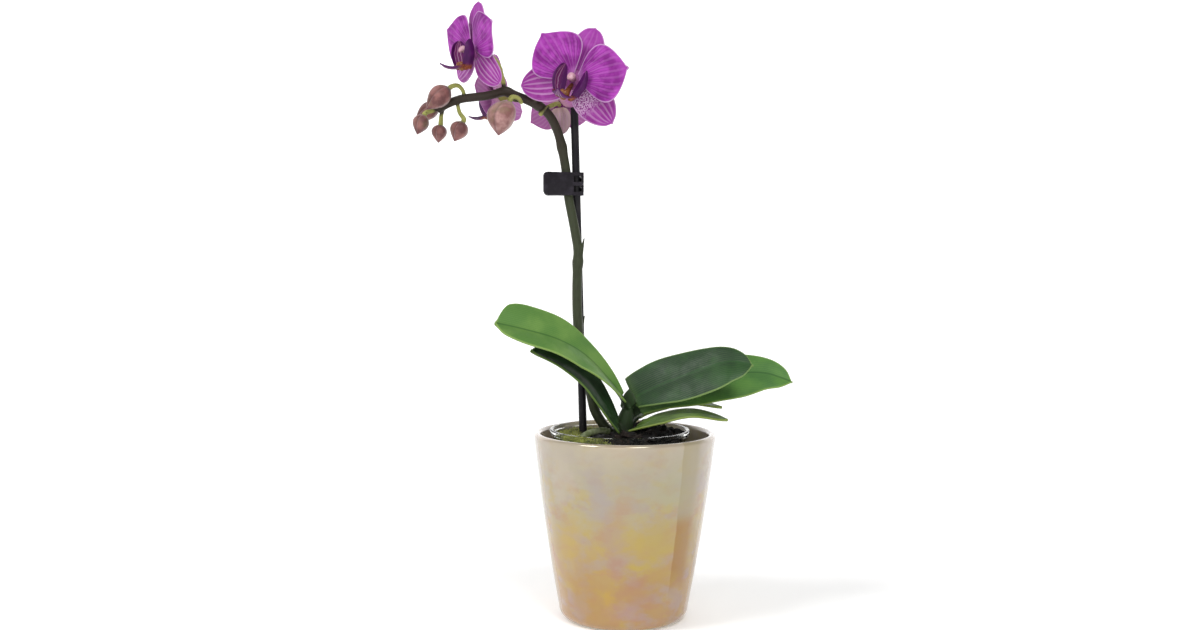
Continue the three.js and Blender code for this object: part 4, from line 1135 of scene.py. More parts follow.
@dataclass
class BarkBed(Assembly):
    """Bark that fills the nursery pot, with loose chips heaped on the right."""

    pot: NurseryPot
    top: float = 87.5
    mound_middle: tuple[float, float] = (10.0, 3.0)
    mound_reach: tuple[float, float] = (21.0, 21.0)
    mound_height: float = 6.0
    chip: tuple[float, float, float] = (8.4, 5.8, 2.4)
    spacing: float = 3.4
    seed: int = 6
    size_seed: int = 9
    # Gap to the pot's wall, how deep the bed lies under its chips, and the least angle of a sharp edge
    play: float = 0.3
    sink: float = 0.4
    crease: float = 50.0
    # Round places without chips, for the stem, the stake and a root: middle and radius
    bare: tuple[tuple[float, float, float], ...] = ((1, 0, 7.5), (-18, 8.2, 4), (17, 16, 4))

    def height(self, x: np.ndarray, y: np.ndarray) -> np.ndarray:
        """Height of the bark at a point from the nursery pot's axis."""
        dx = (x - self.mound_middle[0]) / self.mound_reach[0]
        dy = (y - self.mound_middle[1]) / self.mound_reach[1]
        return self.top + self.mound_height * np.sqrt(np.maximum(0, 1 - dx * dx - dy * dy))

    def bed(self) -> Shape:
        """The bark's body, with "cover", where loose chips lie on it, as a value."""
        sides, bottom = 96, self.pot.base + self.pot.wall + self.play
        wall = self.pot.wall + self.play
        reach = self.pot.radius(self.top) - wall
        around = np.linspace(0, TAU, sides, endpoint=False)
        rings = [stack(np.cos(around), np.sin(around), 0) * (self.pot.radius(bottom) - wall) + [0, 0, bottom]]
        for share in np.linspace(1, 0.03, 26):
            x, y = np.cos(around) * reach * share, np.sin(around) * reach * share
            lumps = 0.5 * ripple(stack(x, y), 5, 3) * smooth(1, 0.9, np.full_like(x, share))
            rings.append(stack(x, y, self.height(x, y) - self.sink + lumps))
        shape = loft(np.array(rings), (0, 0, bottom), (0, 0, float(self.height(0.0, 0.0)) - self.sink))
        x, y, z = shape.corners.T
        away = np.minimum.reduce([np.hypot(x - left, y - back) - radius for left, back, radius in self.bare])
        right = smooth(-5, 4, x + 0.25 * y)
        within = (np.hypot(x, y) < reach - 3.2) * (z > self.top - 2)
        shape.values["cover"] = np.clip(away, 0, 1) * right * within
        return shape.moved(np.eye(3), (self.pot.x, 0, 0))

    def chip_tree(self) -> bpy.types.NodeTree:
        """Tree that heaps broken chips on a bed."""
        tree, given, end = node_tree("bark chips", {"Chip size": "Vector", "Spacing": "Float", "Seed": "Int"})
        cover = tree.add("InputNamedAttribute", {"Name": "cover"}, "Attribute", data_type="FLOAT")
        points = tree.add("DistributePointsOnFaces", {
            "Mesh": given["Geometry"], "Distance Min": given["Spacing"], "Density Max": 1e7,
            "Density Factor": cover, "Seed": given["Seed"],
        }, "Points", distribute_method="POISSON")
        grid = {"Vertices X": 6, "Vertices Y": 5, "Vertices Z": 3}
        block = tree.add("MeshCube", {"Size": given["Chip size"], **grid})
        tumble = tree.add("FunctionNodeRandomValue", {
            0: (-0.5, -0.5, 0.0), 1: (0.5, 0.5, TAU), "Seed": given["Seed"],
        }, data_type="FLOAT_VECTOR")
        sizes = tree.add("FunctionNodeRandomValue", {
            0: (0.55, 0.55, 0.6), 1: (1.15, 1.15, 1.2), "Seed": self.size_seed,
        }, data_type="FLOAT_VECTOR")
        chips = tree.add("InstanceOnPoints", {
            "Points": points, "Instance": block, "Rotation": tumble, "Scale": sizes,
        })
        loose = tree.add("RealizeInstances", {"Geometry": chips})
        rough = tree.add("ShaderNodeTexNoise", {"Scale": 1 / (3.2 * MM), "Detail": 3.0}, "Color")
        shift = tree.add("ShaderNodeVectorMath", {0: rough, 1: (-0.5, -0.5, -0.5)}, operation="ADD")
        shift = tree.add("ShaderNodeVectorMath", {0: shift, "Scale": 3.4 * MM}, operation="SCALE")
        end(tree.add("SetPosition", {"Geometry": loose, "Offset": shift}))
        return tree.tree

    def build(self) -> None:
        """Makes the bed and its chips."""
        shape = self.bed()
        self.dress(shape.object("growing_medium_bed"), [Finishes.bark], Slot.BARK, ["growing_medium"])
        chips = scatter(shape.object("bark_chips"), self.chip_tree(), {
            "Chip size": tuple(size * MM for size in self.chip), "Spacing": self.spacing * MM,
            "Seed": self.seed, "Finish": Finishes.bark.material,
        })
        chips.data.set_sharp_from_angle(angle=math.radians(self.crease))
        self.dress(chips, [], Slot.BARK)


@dataclass
class MossCushion(Assembly):
    """Cushion of moss over the left of the bark."""

    bed: BarkBed
    reach: float = 30.6
    width: float = 11.5
    height: float = 2.7
    span: tuple[float, float] = (112.0, 262.0)
    frond_height: float = 1.7
    frond_width: float = 0.42
    spacing: float = 0.62
    seed: int = 2
    size_seed: int = 4

    def cushion(self) -> Shape:
        """The mat under the fronds, with "cover" on its upper side."""
        rings = []
        for share in np.linspace(0, 1, 70):
            turn = math.radians(lerp(*self.span, share))
            swell = math.sin(math.pi * lerp(0.04, 0.96, share)) ** 0.5
            arch = np.linspace(0, math.pi, 15)
            r = lerp(self.reach - self.width * swell, self.reach, (1 - np.cos(arch)) / 2)
            lumps = 1 + 0.25 * ripple(stack(r, np.full_like(r, turn * 30)), 6, 5)
            z = self.bed.top + 0.3 + self.height * swell * np.sin(arch) ** 0.7 * lumps
            rings.append(stack(self.bed.pot.x + np.cos(turn) * r, np.sin(turn) * r, z))
        rings = np.array(rings)
        shape = loft(rings, rings[0].mean(0), rings[-1].mean(0))
        shape.values["cover"] = (shape.corners[:, 2] > self.bed.top + 0.9).astype(float)
        return shape

    def frond_tree(self) -> bpy.types.NodeTree:
        """Tree that grows leaning fronds on a mat."""
        tree, given, end = node_tree("moss fronds", {
            "Frond height": "Float", "Frond width": "Float", "Spacing": "Float", "Seed": "Int",
        })
        cover = tree.add("InputNamedAttribute", {"Name": "cover"}, "Attribute", data_type="FLOAT")
        spread = tree.add("DistributePointsOnFaces", {
            "Mesh": given["Geometry"], "Distance Min": given["Spacing"], "Density Max": 1e8,
            "Density Factor": cover, "Seed": given["Seed"],
        }, "Points", distribute_method="POISSON")
        frond = tree.add("MeshCone", {
            "Vertices": 4, "Side Segments": 3, "Radius Top": 0.04 * MM, "Radius Bottom": given["Frond width"],
            "Depth": given["Frond height"],
        })
        height = tree.add("ShaderNodeSeparateXYZ", {0: tree.add("InputPosition")}).node.outputs[2]
        lean = tree.add("ShaderNodeMath", {0: height, 1: height}, operation="MULTIPLY")
        lean = tree.add("ShaderNodeMath", {0: lean, 1: given["Frond height"]}, operation="DIVIDE")
        sideways = tree.add("ShaderNodeCombineXYZ", {0: lean})
        bent = tree.add("SetPosition", {"Geometry": frond, "Offset": sideways})
        turn = tree.add("FunctionNodeRandomValue", {
            0: (-0.6, -0.6, 0.0), 1: (0.6, 0.6, TAU), "Seed": given["Seed"],
        }, data_type="FLOAT_VECTOR")
        upright = spread.node.outputs["Rotation"]
        rotation = tree.add("FunctionNodeRotateRotation", {0: upright, 1: turn}, rotation_space="LOCAL")
        size = tree.add("FunctionNodeRandomValue", {
            2: 0.55, 3: 1.2, "Seed": self.size_seed,
        }, 1, data_type="FLOAT")
        fronds = tree.add("InstanceOnPoints", {
            "Points": spread, "Instance": bent, "Rotation": rotation, "Scale": size,
        })
        end(tree.add("RealizeInstances", {"Geometry": fronds}))
        return tree.tree

    def build(self) -> None:
        """Makes the mat and its fronds."""
        shape = self.cushion()
        self.dress(shape.object("moss_mat"), [Finishes.moss_mat], Slot.MOSS, ["moss"])
        fronds = scatter(shape.object("moss_fronds"), self.frond_tree(), {
            "Frond height": self.frond_height * MM, "Frond width": self.frond_width * MM,
            "Spacing": self.spacing * MM, "Seed": self.seed, "Finish": Finishes.moss.material,
        })
        self.dress(fronds, [], Slot.MOSS)


@dataclass
class AerialRoots(Assembly):
    """Two roots that leave the stem and dive into the bark."""

    radius: float = 1.6
    paths: dict[str, list[tuple[float, float, float]]] = field(default_factory=lambda: {
        "aerial_root_left": [
            (-8, -2.5, 92.5), (-12, -5, 93.2), (-17, -8.5, 92.6), (-21, -10, 90.4), (-23, -10.4, 86),
            (-23.4, -10.5, 81),
        ],
        "aerial_root_right": [
            (4, 5.6, 90.5), (7, 9.8, 93.6), (11, 13.8, 95), (15, 17, 93.5), (16.5, 18.6, 88), (16.7, 19, 82),
        ],
    })

    def build(self) -> None:
        """Makes the roots."""
        for number, (name, points) in enumerate(self.paths.items()):
            path = Path(points)
            shape = tube(
                path, lambda u: self.radius * (1 + 0.07 * ripple(stack(u * path.length), 4, number)), 22, 70,
            )
            shape.corners += 0.1 * ripple(shape.corners, 2.5, number)[:, None]
            self.dress(shape.object(f"{name}_velamen"), [Finishes.velamen], Slot.ROOT, [name])


@dataclass
class Leaf:
    """One leaf: its midrib, the way its upper face looks at base and tip, and how it folds and arches."""

    midrib: list[tuple[float, float, float]]
    up: tuple[tuple[float, float, float], tuple[float, float, float]]
    left: Outline
    right: Outline
    fold: tuple[float, float]
    curl: float
    finish: LeafSkin
    thickness: float = 1.5
    sheath: float = 9.5
    groove: float = 0.9

    @cached_property
    def path(self) -> Path:
        """The midrib as a curve."""
        return Path(self.midrib)

    def reach(self, t: np.ndarray, s: np.ndarray) -> np.ndarray:
        """Distance from the midrib."""
        return np.abs(s) * np.where(s < 0, self.left.at(t), self.right.at(t))

    def surface(self, t: np.ndarray, s: np.ndarray) -> np.ndarray:
        """Point of the leaf; s = -1 is its left edge seen along the midrib with the upper face up."""
        u = np.clip(t, 0, 1)
        tangent = self.path.tangent(u)
        across = unit(np.cross(tangent, lerp(np.array(self.up[0]), np.array(self.up[1]), u[..., None])))
        normal = np.cross(across, tangent)
        reach = self.reach(t, s)
        angle = np.radians(lerp(*self.fold, np.minimum(1, u * 2.2)))
        swells = ripple(stack(u * self.path.length, reach * np.sign(s)), 17, len(self.midrib))
        waves = 0.5 * swells * smooth(0.3, 1, np.abs(s))
        valley = np.sqrt(reach**2 + self.groove**2) - self.groove
        rise = np.sin(angle) * valley - self.curl * reach**2 + waves
        point = self.path.point(u) + tangent * ((t - u) * self.path.length)[..., None]
        return point + across * (np.sign(s) * reach * np.cos(angle))[..., None] + normal * rise[..., None]

    def blade(self) -> Shape:
        """The leaf beyond its sheath."""
        length = self.path.length
        return blade(self.surface, self.thickness, 90, 30, self.sheath / length, {
            "along": lambda t, s: t,
            "aside": self.reach,
            "margin": lambda t, s: np.minimum(
                (1 - np.abs(s)) * np.where(s < 0, self.left.at(t), self.right.at(t)), (1 - t) * length,
            ),
        })

    def sheath_blade(self) -> Shape:
        """The narrower foot of the leaf, which the stem is wrapped in."""
        share = (self.sheath + 0.4) / self.path.length
        return blade(lambda t, s: self.surface(t * share, s * 0.5), self.thickness + 0.4, 8, 8, 0.015 / share)


@dataclass
class Foliage(Assembly):
    """The leaves and the short stem that their sheaths are wrapped round."""

    leaves: dict[str, Leaf] = field(default_factory=lambda: {
        "leaf_left_upper": Leaf(
            [(1.5, 0, 102.5), (-2.3, -4.6, 110), (-9.6, -8, 119.8), (-20.5, -12, 131), (-33, -16.6, 138.4),
             (-47.8, -20, 143), (-62.3, -22, 146.4)],
            ((0.6, -0.3, 0.5), (0.42, -0.55, 0.62)),
            Outline(0.35, 0.75, 0.42, 0.16, 12), Outline(0.2, 1.6, 0.36, 0.2, 15.6), (40, 16), 0.006,
            Finishes.leaf_young,
        ),
        "leaf_left_lower": Leaf(
            [(-1, 0, 89), (-4, -5.2, 96), (-11.4, -9, 108.2), (-19.4, -11.6, 118.8), (-30.4, -13.5, 126.8),
             (-45.5, -15.5, 133)],
            ((0.7, -0.4, 0.4), (0.4, -0.45, 0.7)),
            Outline(1.3, 0.6, 0.4, 0.4, 5.8), Outline(0.04, 0.9, 0.4, 0.2, 9), (30, 14), 0.006,
            Finishes.leaf_painted_shade,
        ),
        "leaf_right_upper": Leaf(
            [(0, 0, 101.5), (4.8, -2.6, 108.6), (14, -6, 114.2), (26.7, -9.4, 120), (39, -11.6, 124.8),
             (50, -13.4, 128), (61, -15, 126.8)],
            ((-0.3, -0.75, 0.5), (-0.2, -0.72, 0.66)),
            Outline(0.3, 0.46, 0.6, 0.1, 13), Outline(0.1, 0.95, 0.5, 0.14, 14.6), (18, 12), 0.012,
            Finishes.leaf_right,
        ),
        "leaf_right_long": Leaf(
            [(0, 1, 96.5), (7, 4, 102.6), (20, 7, 109.2), (38, 9, 115.8), (56, 9.4, 119.8), (70, 8, 120.4),
             (83, 5, 116.6)],
            ((-0.2, -0.6, 0.75), (-0.05, -0.74, 0.66)),
            Outline(0.4, 0.7, 0.62, 0.06, 13), Outline(0.14, 0.95, 0.66, 0.06, 15.4), (30, 12), 0.01,
            Finishes.leaf_long,
        ),
        "leaf_right_back": Leaf(
            [(0, 2, 92), (7.4, 8, 98.8), (19, 13, 103), (33, 15, 104.6), (49.2, 16, 102.4)],
            ((-0.2, -0.1, 0.9), (0, -0.1, 0.97)),
            Outline(0.5, 0.6, 0.6, 0.08, 7), Outline(0.5, 0.6, 0.6, 0.08, 6), (30, 10), 0.01,
            Finishes.leaf_shade,
        ),
        "leaf_right_low": Leaf(
            [(0, -0.5, 89), (6.8, -6.6, 94.8), (18, -11.4, 100.4), (32, -13, 103), (49.5, -12, 99.8)],
            ((-0.2, -0.2, 0.9), (0.05, -0.25, 0.95)),
            Outline(0.1, 0.9, 0.6, 0.06, 5.2), Outline(0.5, 0.6, 0.6, 0.06, 7.5), (34, 12), 0.012,
            Finishes.leaf_shade,
        ),
    })
    # Middle and half widths of the stem at each height
    sections: tuple[tuple[float, float, float, float, float], ...] = (
        (-1, 0, 79.5, 3, 2.6), (-1, 0, 80, 4, 3.6), (-1, 0, 88, 5.4, 4.8), (-0.5, 0, 94, 4.8, 4.2),
        (0.6, -0.5, 100, 3.8, 3.4), (1.6, -1, 105, 2.4, 2.2),
    )

    def stem(self) -> Shape:
        """The short stem, grown together with the leaf sheaths."""
        steps = np.linspace(0, 1, 40)
        x, y, z, wide, deep = (Path(self.sections).raw(steps)).T[..., None]
        around = np.linspace(0, TAU, 28, endpoint=False)
        rings = stack(x + wide * np.cos(around), y + deep * np.sin(around), z)
        core = loft(rings, (-1, 0, 79), (1.8, -1.2, 106))
        skin = fused([core, *(leaf.sheath_blade() for leaf in self.leaves.values())], 0.45, 6)
        # The value young marks the stem's foot, down among the leaf bases, where the sheath finish paints a
        # darker green as painted shade
        skin.values["young"] = smooth(99, 90, skin.corners[:, 2])
        return skin

    def build(self) -> None:
        """Makes the stem and each leaf."""
        self.dress(self.stem().object("stem_base_sheathed"), [Finishes.sheath], Slot.LEAF, ["stem_base"])
        for name, leaf in self.leaves.items():
            self.dress(leaf.blade().object(f"{name}_blade"), [leaf.finish], Slot.LEAF, [name])


@dataclass
class Bud:
    """One bud: base, pointed tip, widest radius, how its middle bulges, and its stalk's path."""

    base: tuple[float, float, float]
    tip: tuple[float, float, float]
    radius: float
    stalk: list[tuple[float, float, float]]
    hump: tuple[float, float, float] = (0, 0, 0)

    def shape(self, number: int) -> Shape:
        """The bud with its three seams; the number turns them."""
        base, tip = np.array(self.base, float), np.array(self.tip, float)
        axis = tip - base
        side = unit(np.cross([0, 1, 0], axis))
        other = np.cross(unit(axis), side)
        # Share of the length and share of the widest radius
        profile = Path([
            (0, 0.1), (0.05, 0.42), (0.18, 0.82), (0.36, 1), (0.54, 0.93), (0.72, 0.66), (0.88, 0.31),
            (0.985, 0.05),
        ])
        share, reach = profile.point(np.linspace(0, 1, 46)).T[..., None]
        turn = np.linspace(0, TAU, 54, endpoint=False)[None] + number
        seam = np.exp(-((((turn * 3 / TAU) % 1) - 0.5) / 0.07) ** 2) * smooth(0.0, 0.25, share)
        size = self.radius * reach * (1 + 0.07 * np.cos(3 * turn)) - 0.35 * seam * reach
        middle = base + axis * share[..., None] + np.array(self.hump) * np.sin(math.pi * share)[..., None]
        rings = middle + side * (np.cos(turn) * size)[..., None] + other * (np.sin(turn) * size)[..., None]
        shape = loft(rings, base, tip)
        shape.values["seam"] = np.concatenate([[0], seam.ravel(), [0]])
        return shape

    def pedicel(self) -> Shape:
        """The bud's own stalk."""
        return tube(Path([*self.stalk, self.base]), lambda u: 0.95 + 0.35 * u * u, 14, 24)


@dataclass
class Buds(Assembly):
    """The six closed buds."""

    buds: dict[str, Bud] = field(default_factory=lambda: {
        "bud_1": Bud(
            (-57, -6.4, 253.2), (-62.2, -8.6, 236.4), 6.8,
            [(-53.4, 1, 255.6), (-51.6, -2.6, 253), (-53, -5.4, 254.8), (-55.8, -6.2, 255.2)],
            (-1.6, 0, -0.6),
        ),
        "bud_2": Bud(
            (-86, -5.9, 259.4), (-97.2, -7, 248.8), 5.2,
            [(-79.4, -0.4, 255), (-79.9, -2.8, 258.4), (-82, -4.6, 260.6), (-84.6, -5.7, 260.3)],
        ),
        "bud_3": Bud(
            (-93, 5.8, 252.4), (-104.6, 7.6, 244.8), 4.3,
            [(-87, 0.2, 252), (-88.6, 3, 252.8), (-91.4, 5.2, 253)],
        ),
        "bud_4": Bud(
            (-98.6, -3.6, 246.6), (-101.9, -4.6, 236.9), 4,
            [(-91, 0, 250.2), (-94.4, -1.8, 248.8), (-97.6, -3.2, 247.8)],
        ),
        "bud_5": Bud(
            (-91.4, 3.2, 242.6), (-92.7, 4, 233.6), 3.8,
            [(-89.4, 0.2, 251), (-90.9, 1.8, 247), (-91.3, 3, 243.9)],
        ),
        "bud_6": Bud(
            (-79.6, -3.2, 243.4), (-83.9, -4.2, 233.8), 4.5,
            [(-83, -0.2, 253.6), (-81.6, -1.8, 248), (-79.4, -3, 244.8)],
        ),
    })

    def build(self) -> None:
        """Makes the buds."""
        for number, (name, bud) in enumerate(self.buds.items()):
            finish = Finishes.young_bud if number else Finishes.bud
            self.dress(bud.shape(number).object(f"{name}_skin"), [finish], Slot.BUD, [name])


class TepalKind(Enum):
    """The flat-grown flower parts: length, half width, lift, slope, bend, bow, outline, fan of the veins."""

    UPPER_SEPAL = (26.5, 8.0, -0.7, 0.0, -0.0045, -0.008, Outline(0.38, 0.62, 0.55, 0.14), 0.35)
    SIDE_SEPAL = (27.5, 8.6, -0.7, -0.02, -0.003, 0.006, Outline(0.27, 0.6, 0.6, 0.12), 0.1)
    PETAL = (27.0, 13.4, 0.65, 0.2, -0.0045, -0.006, Outline(0.16, 1.2, 1.15, 0.1), 0.85)


@dataclass
class Bloom:
    """One open flower in its own frame: +Z looks out of it and +Y runs up its upper sepal."""

    name: str
    centre: tuple[float, float, float]
    facing: tuple[float, float, float]
    roll: float
    size: float
    petal_turns: tuple[float, float]
    sepal_turns: tuple[float, float]
    stalk: list[tuple[float, float, float]]
    upper_sepal: TepalSkin = Finishes.upper_sepal
    right_sepal: TepalSkin = Finishes.side_sepal
    tepal_start: float = 2.3
    tepal_thickness: float = 0.7
    lip_thickness: float = 0.8

    @cached_property
    def axes(self) -> np.ndarray:
        """The bloom's frame as a matrix of its three axes."""
        forward = unit(np.array(self.facing, float))
        right = unit(np.cross([0, 0, 1], forward))
        up = np.cross(forward, right)
        a = -math.radians(self.roll)
        turned_right = right * math.cos(a) + up * math.sin(a)
        turned_up = up * math.cos(a) - right * math.sin(a)
        return np.array([turned_right, turned_up, forward]).T

    def placed(self, shape: Shape) -> Shape:
        """A shape of the bloom's own frame, at the bloom's size and place."""
        return shape.moved(self.axes * self.size, self.centre)

    def tepal(self, kind: TepalKind, turn: float, seed: int) -> Shape:
        """A petal or sepal.

        Args:
            kind: which of the flower parts it is.
            turn: degrees from the upper sepal, clockwise seen from in front.
            seed: number that picks its unevenness.

        Returns:
            The shape in place.
        """
        length, half, lift, slope, bend, bow, outline, fan = kind.value

        def surface(t: np.ndarray, s: np.ndarray) -> np.ndarray:
            """Point of the part before it is turned to its place."""
            along, aside = lerp(self.tepal_start, length, t), s * half * outline.at(t)
            edge = smooth(0.35, 1.0, np.abs(s)) * smooth(0.1, 0.5, t)
            waves = 0.55 * ripple(stack(along, aside), 8, seed) * edge
            keel = -0.3 * np.exp(-((aside / 0.9) ** 2)) * smooth(0.9, 0.5, t)
            return stack(aside, along, lift + slope * along + bend * along**2 + bow * aside**2 + waves + keel)

        def veins(t: np.ndarray, s: np.ndarray) -> np.ndarray:
            """How far round the fan of veins a point lies."""
            angle = np.arctan2(s * half * outline.at(t), lerp(self.tepal_start, length, t) + 1)
            return lerp(s, angle / math.radians(50), fan)

        shape = blade(surface, self.tepal_thickness, 56, 34, 0.0, {
            "along": lambda t, s: t,
            "fan": veins,
            "margin": lambda t, s: np.minimum((1 - np.abs(s)) * half * outline.at(t), (1 - t) * length),
        })
        a = -math.radians(turn)
        spin = np.array([[math.cos(a), -math.sin(a), 0], [math.sin(a), math.cos(a), 0], [0, 0, 1]])
        return self.placed(shape.moved(spin))

    def lobe(self, surface: Surface, across: int) -> Shape:
        """A lobe of the lip in so many steps across, with the values "along" and "across"."""
        values = {"along": lambda t, s: t, "across": lambda t, s: s}
        return blade(surface, self.lip_thickness, 30, across, values=values)

    def side_lobe(self, side: int) -> Shape:
        """Side lobe of the lip; side is 1 for its right and -1 for its left."""

        def surface(t: np.ndarray, s: np.ndarray) -> np.ndarray:
            """Point of the lobe, which stands up and curls round the column."""
            opening = np.sin(math.pi * lerp(0.1, 0.78, t)) ** 0.8
            narrowing = np.sqrt(1 - np.maximum(0, t - 0.3) ** 2 / 0.6)
            width = narrowing * np.sqrt(1 - np.clip((t - 0.86) / 0.16, 0, 0.95) ** 2)
            turn = np.radians(lerp(-22, -22 + 66 * s * side, width))
            out = 0.7 + opening * (1.7 + 5.8 * np.cos(turn))
            forward = 7.6 + 4.6 * np.sin(turn) * lerp(0.7, 1, opening)
            return stack(side * out, lerp(-10.4, 5.2, t), forward)

        return self.lobe(surface, 22)

    def middle_lobe(self) -> Shape:
        """Pointed middle lobe of the lip."""
        path = Path([(0, -9.2, 8), (0, -10.4, 12.5), (0, -10, 17), (0, -7.8, 22)])
        outline = Outline(0.7, 0.5, 1.1, 0.16, 3.9)

        def surface(t: np.ndarray, s: np.ndarray) -> np.ndarray:
            """Point of the lobe, a shallow trough along its path."""
            u = np.clip(t, 0, 1)
            wide = s * outline.at(u)
            point = path.point(u) + path.tangent(u) * ((t - u) * 10)[..., None]
            return stack(wide, point[..., 1] + 0.05 * wide**2, point[..., 2])

        return self.lobe(surface, 14)

    def callus(self) -> Shape:
        """Forked callus and the claw that the lip hangs on."""
        rings, turn = [], np.linspace(0, TAU, 28, endpoint=False)
        for a in np.linspace(0.12, math.pi - 0.12, 18):
            split = 1 - 0.28 * np.exp(-((np.cos(turn) / 0.3) ** 2)) * (np.sin(turn) > 0)
            r = 2.3 * math.sin(a)
            y = -8.3 + r * 0.95 * np.sin(turn) * split
            rings.append(stack(r * 1.15 * np.cos(turn), y, 9.2 - 2.3 * math.cos(a)))
        knob = loft(np.array(rings), (0, -8.3, 6.9), (0, -8.3, 11.5))
        path = Path([(0, -2.9, 1.6), (0, -4.8, 3.4), (0, -7.8, 6), (0, -9.8, 9)])
        claw = tube(path, lambda u: lerp(1, 1.9, u), 18, 20)
        return Shape.joined([knob, claw])

    def column(self) -> Shape:
        """Hooded column with its rounded cap, and the throat that the flower parts spring from."""
        steps = np.linspace(0, 1, 34)
        # Each section's middle, up the flower and out of it, and its radius
        sections = Path([(0, 1.4, 1.2), (0, 3.4, 1.5), (0.2, 6, 1.9), (0.2, 8, 2), (-0.4, 9.4, 1.4)])
        y, z, r = sections.raw(steps).T[..., None]
        turn = np.linspace(0, TAU, 30, endpoint=False)
        hollow = np.exp(-(((z - 7.6) / 1.3) ** 2)) * np.exp(-((np.cos(turn) / 0.5) ** 2)) * (np.sin(turn) < 0)
        cap = 0.15 * np.exp(-(((z - 8.1) / 0.35) ** 2))
        size = r - 0.75 * hollow - cap
        rings = stack(np.cos(turn) * size, y + np.sin(turn) * size, z)
        throat = turned([(0.5, -0.35), (4.6, -0.2), (5.1, 0.15), (4.4, 0.5), (1.6, 1.5)], 40)
        return Shape.joined([loft(rings, (0, 0, 1.3), (0, -0.6, 9.9)), throat])

    def pedicel(self) -> Shape:
        """The flower's own stalk."""
        ends = [np.array(self.centre) + self.axes[:, 2] * z * self.size for z in (-4, 0, 1)]
        wide = 1.6 * self.size
        return tube(Path([*self.stalk, *ends]), lambda u: 1.15 + (wide - 1.15) * u * u, 14, 40)


@dataclass
class Blooms(Assembly):
    """The four open flowers."""

    blooms: list[Bloom] = field(default_factory=lambda: [
        Bloom(
            "bloom_1", (-25.5, -12, 263), (-0.2, -0.96, 0.03), 20, 1, (60, 56), (119, 114),
            [(-46.6, 2, 252.2), (-42, -1.6, 258.2), (-33, -3, 262)], right_sepal=Finishes.speckled_sepal,
        ),
        Bloom(
            "bloom_2", (-73.8, -9, 277), (-0.8, -0.6, -0.06), 1, 0.87, (60, 60), (134, 118),
            [(-59.6, 0, 257), (-60.8, 1, 264), (-63.6, -0.6, 272.5)],
        ),
        Bloom(
            "bloom_3", (-64.5, 23, 257.5), (-0.94, 0.32, -0.12), 20, 0.84, (58, 60), (122, 122),
            [(-55, 1.4, 255.8), (-52.6, 7, 257), (-53.6, 14.4, 258)],
        ),
        Bloom(
            "bloom_4", (-33.6, 16, 253.6), (0.12, 0.95, -0.25), 186, 0.62, (64, 66), (124, 124),
            [(-41.4, 3.6, 250), (-38.6, 7.2, 252), (-35.4, 9.6, 253.6)], upper_sepal=Finishes.hanging_sepal,
        ),
    ])

    def build(self) -> None:
        """Makes every part of every flower."""
        for number, bloom in enumerate(self.blooms):
            parts = {
                "upper_sepal": (TepalKind.UPPER_SEPAL, 0, bloom.upper_sepal),
                "right_sepal": (TepalKind.SIDE_SEPAL, bloom.sepal_turns[0], bloom.right_sepal),
                "left_sepal": (TepalKind.SIDE_SEPAL, -bloom.sepal_turns[1], Finishes.side_sepal),
                "right_petal": (TepalKind.PETAL, bloom.petal_turns[0], Finishes.petal),
                "left_petal": (TepalKind.PETAL, -bloom.petal_turns[1], Finishes.petal),
            }
            for place, (part, (kind, turn, finish)) in enumerate(parts.items()):
                shape = bloom.tepal(kind, turn, 10 * number + place)
                name = f"{bloom.name}_{part}"
                self.dress(shape.object(f"{name}_veined"), [finish], Slot.PETAL, [name])
            lobes = Shape.joined([
                bloom.side_lobe(1), bloom.side_lobe(-1), bloom.middle_lobe(), bloom.callus(),
            ])
            finishes = [Finishes.side_lobe, Finishes.side_lobe, Finishes.middle_lobe, Finishes.callus]
            lip = bloom.placed(lobes).object(f"{bloom.name}_lip_lobed")
            self.dress(lip, finishes, Slot.LIP, [f"{bloom.name}_lip"])
            column = bloom.placed(bloom.column()).object(f"{bloom.name}_column_hooded")
            self.dress(column, [Finishes.column, Finishes.throat], Slot.COLUMN, [f"{bloom.name}_column"])


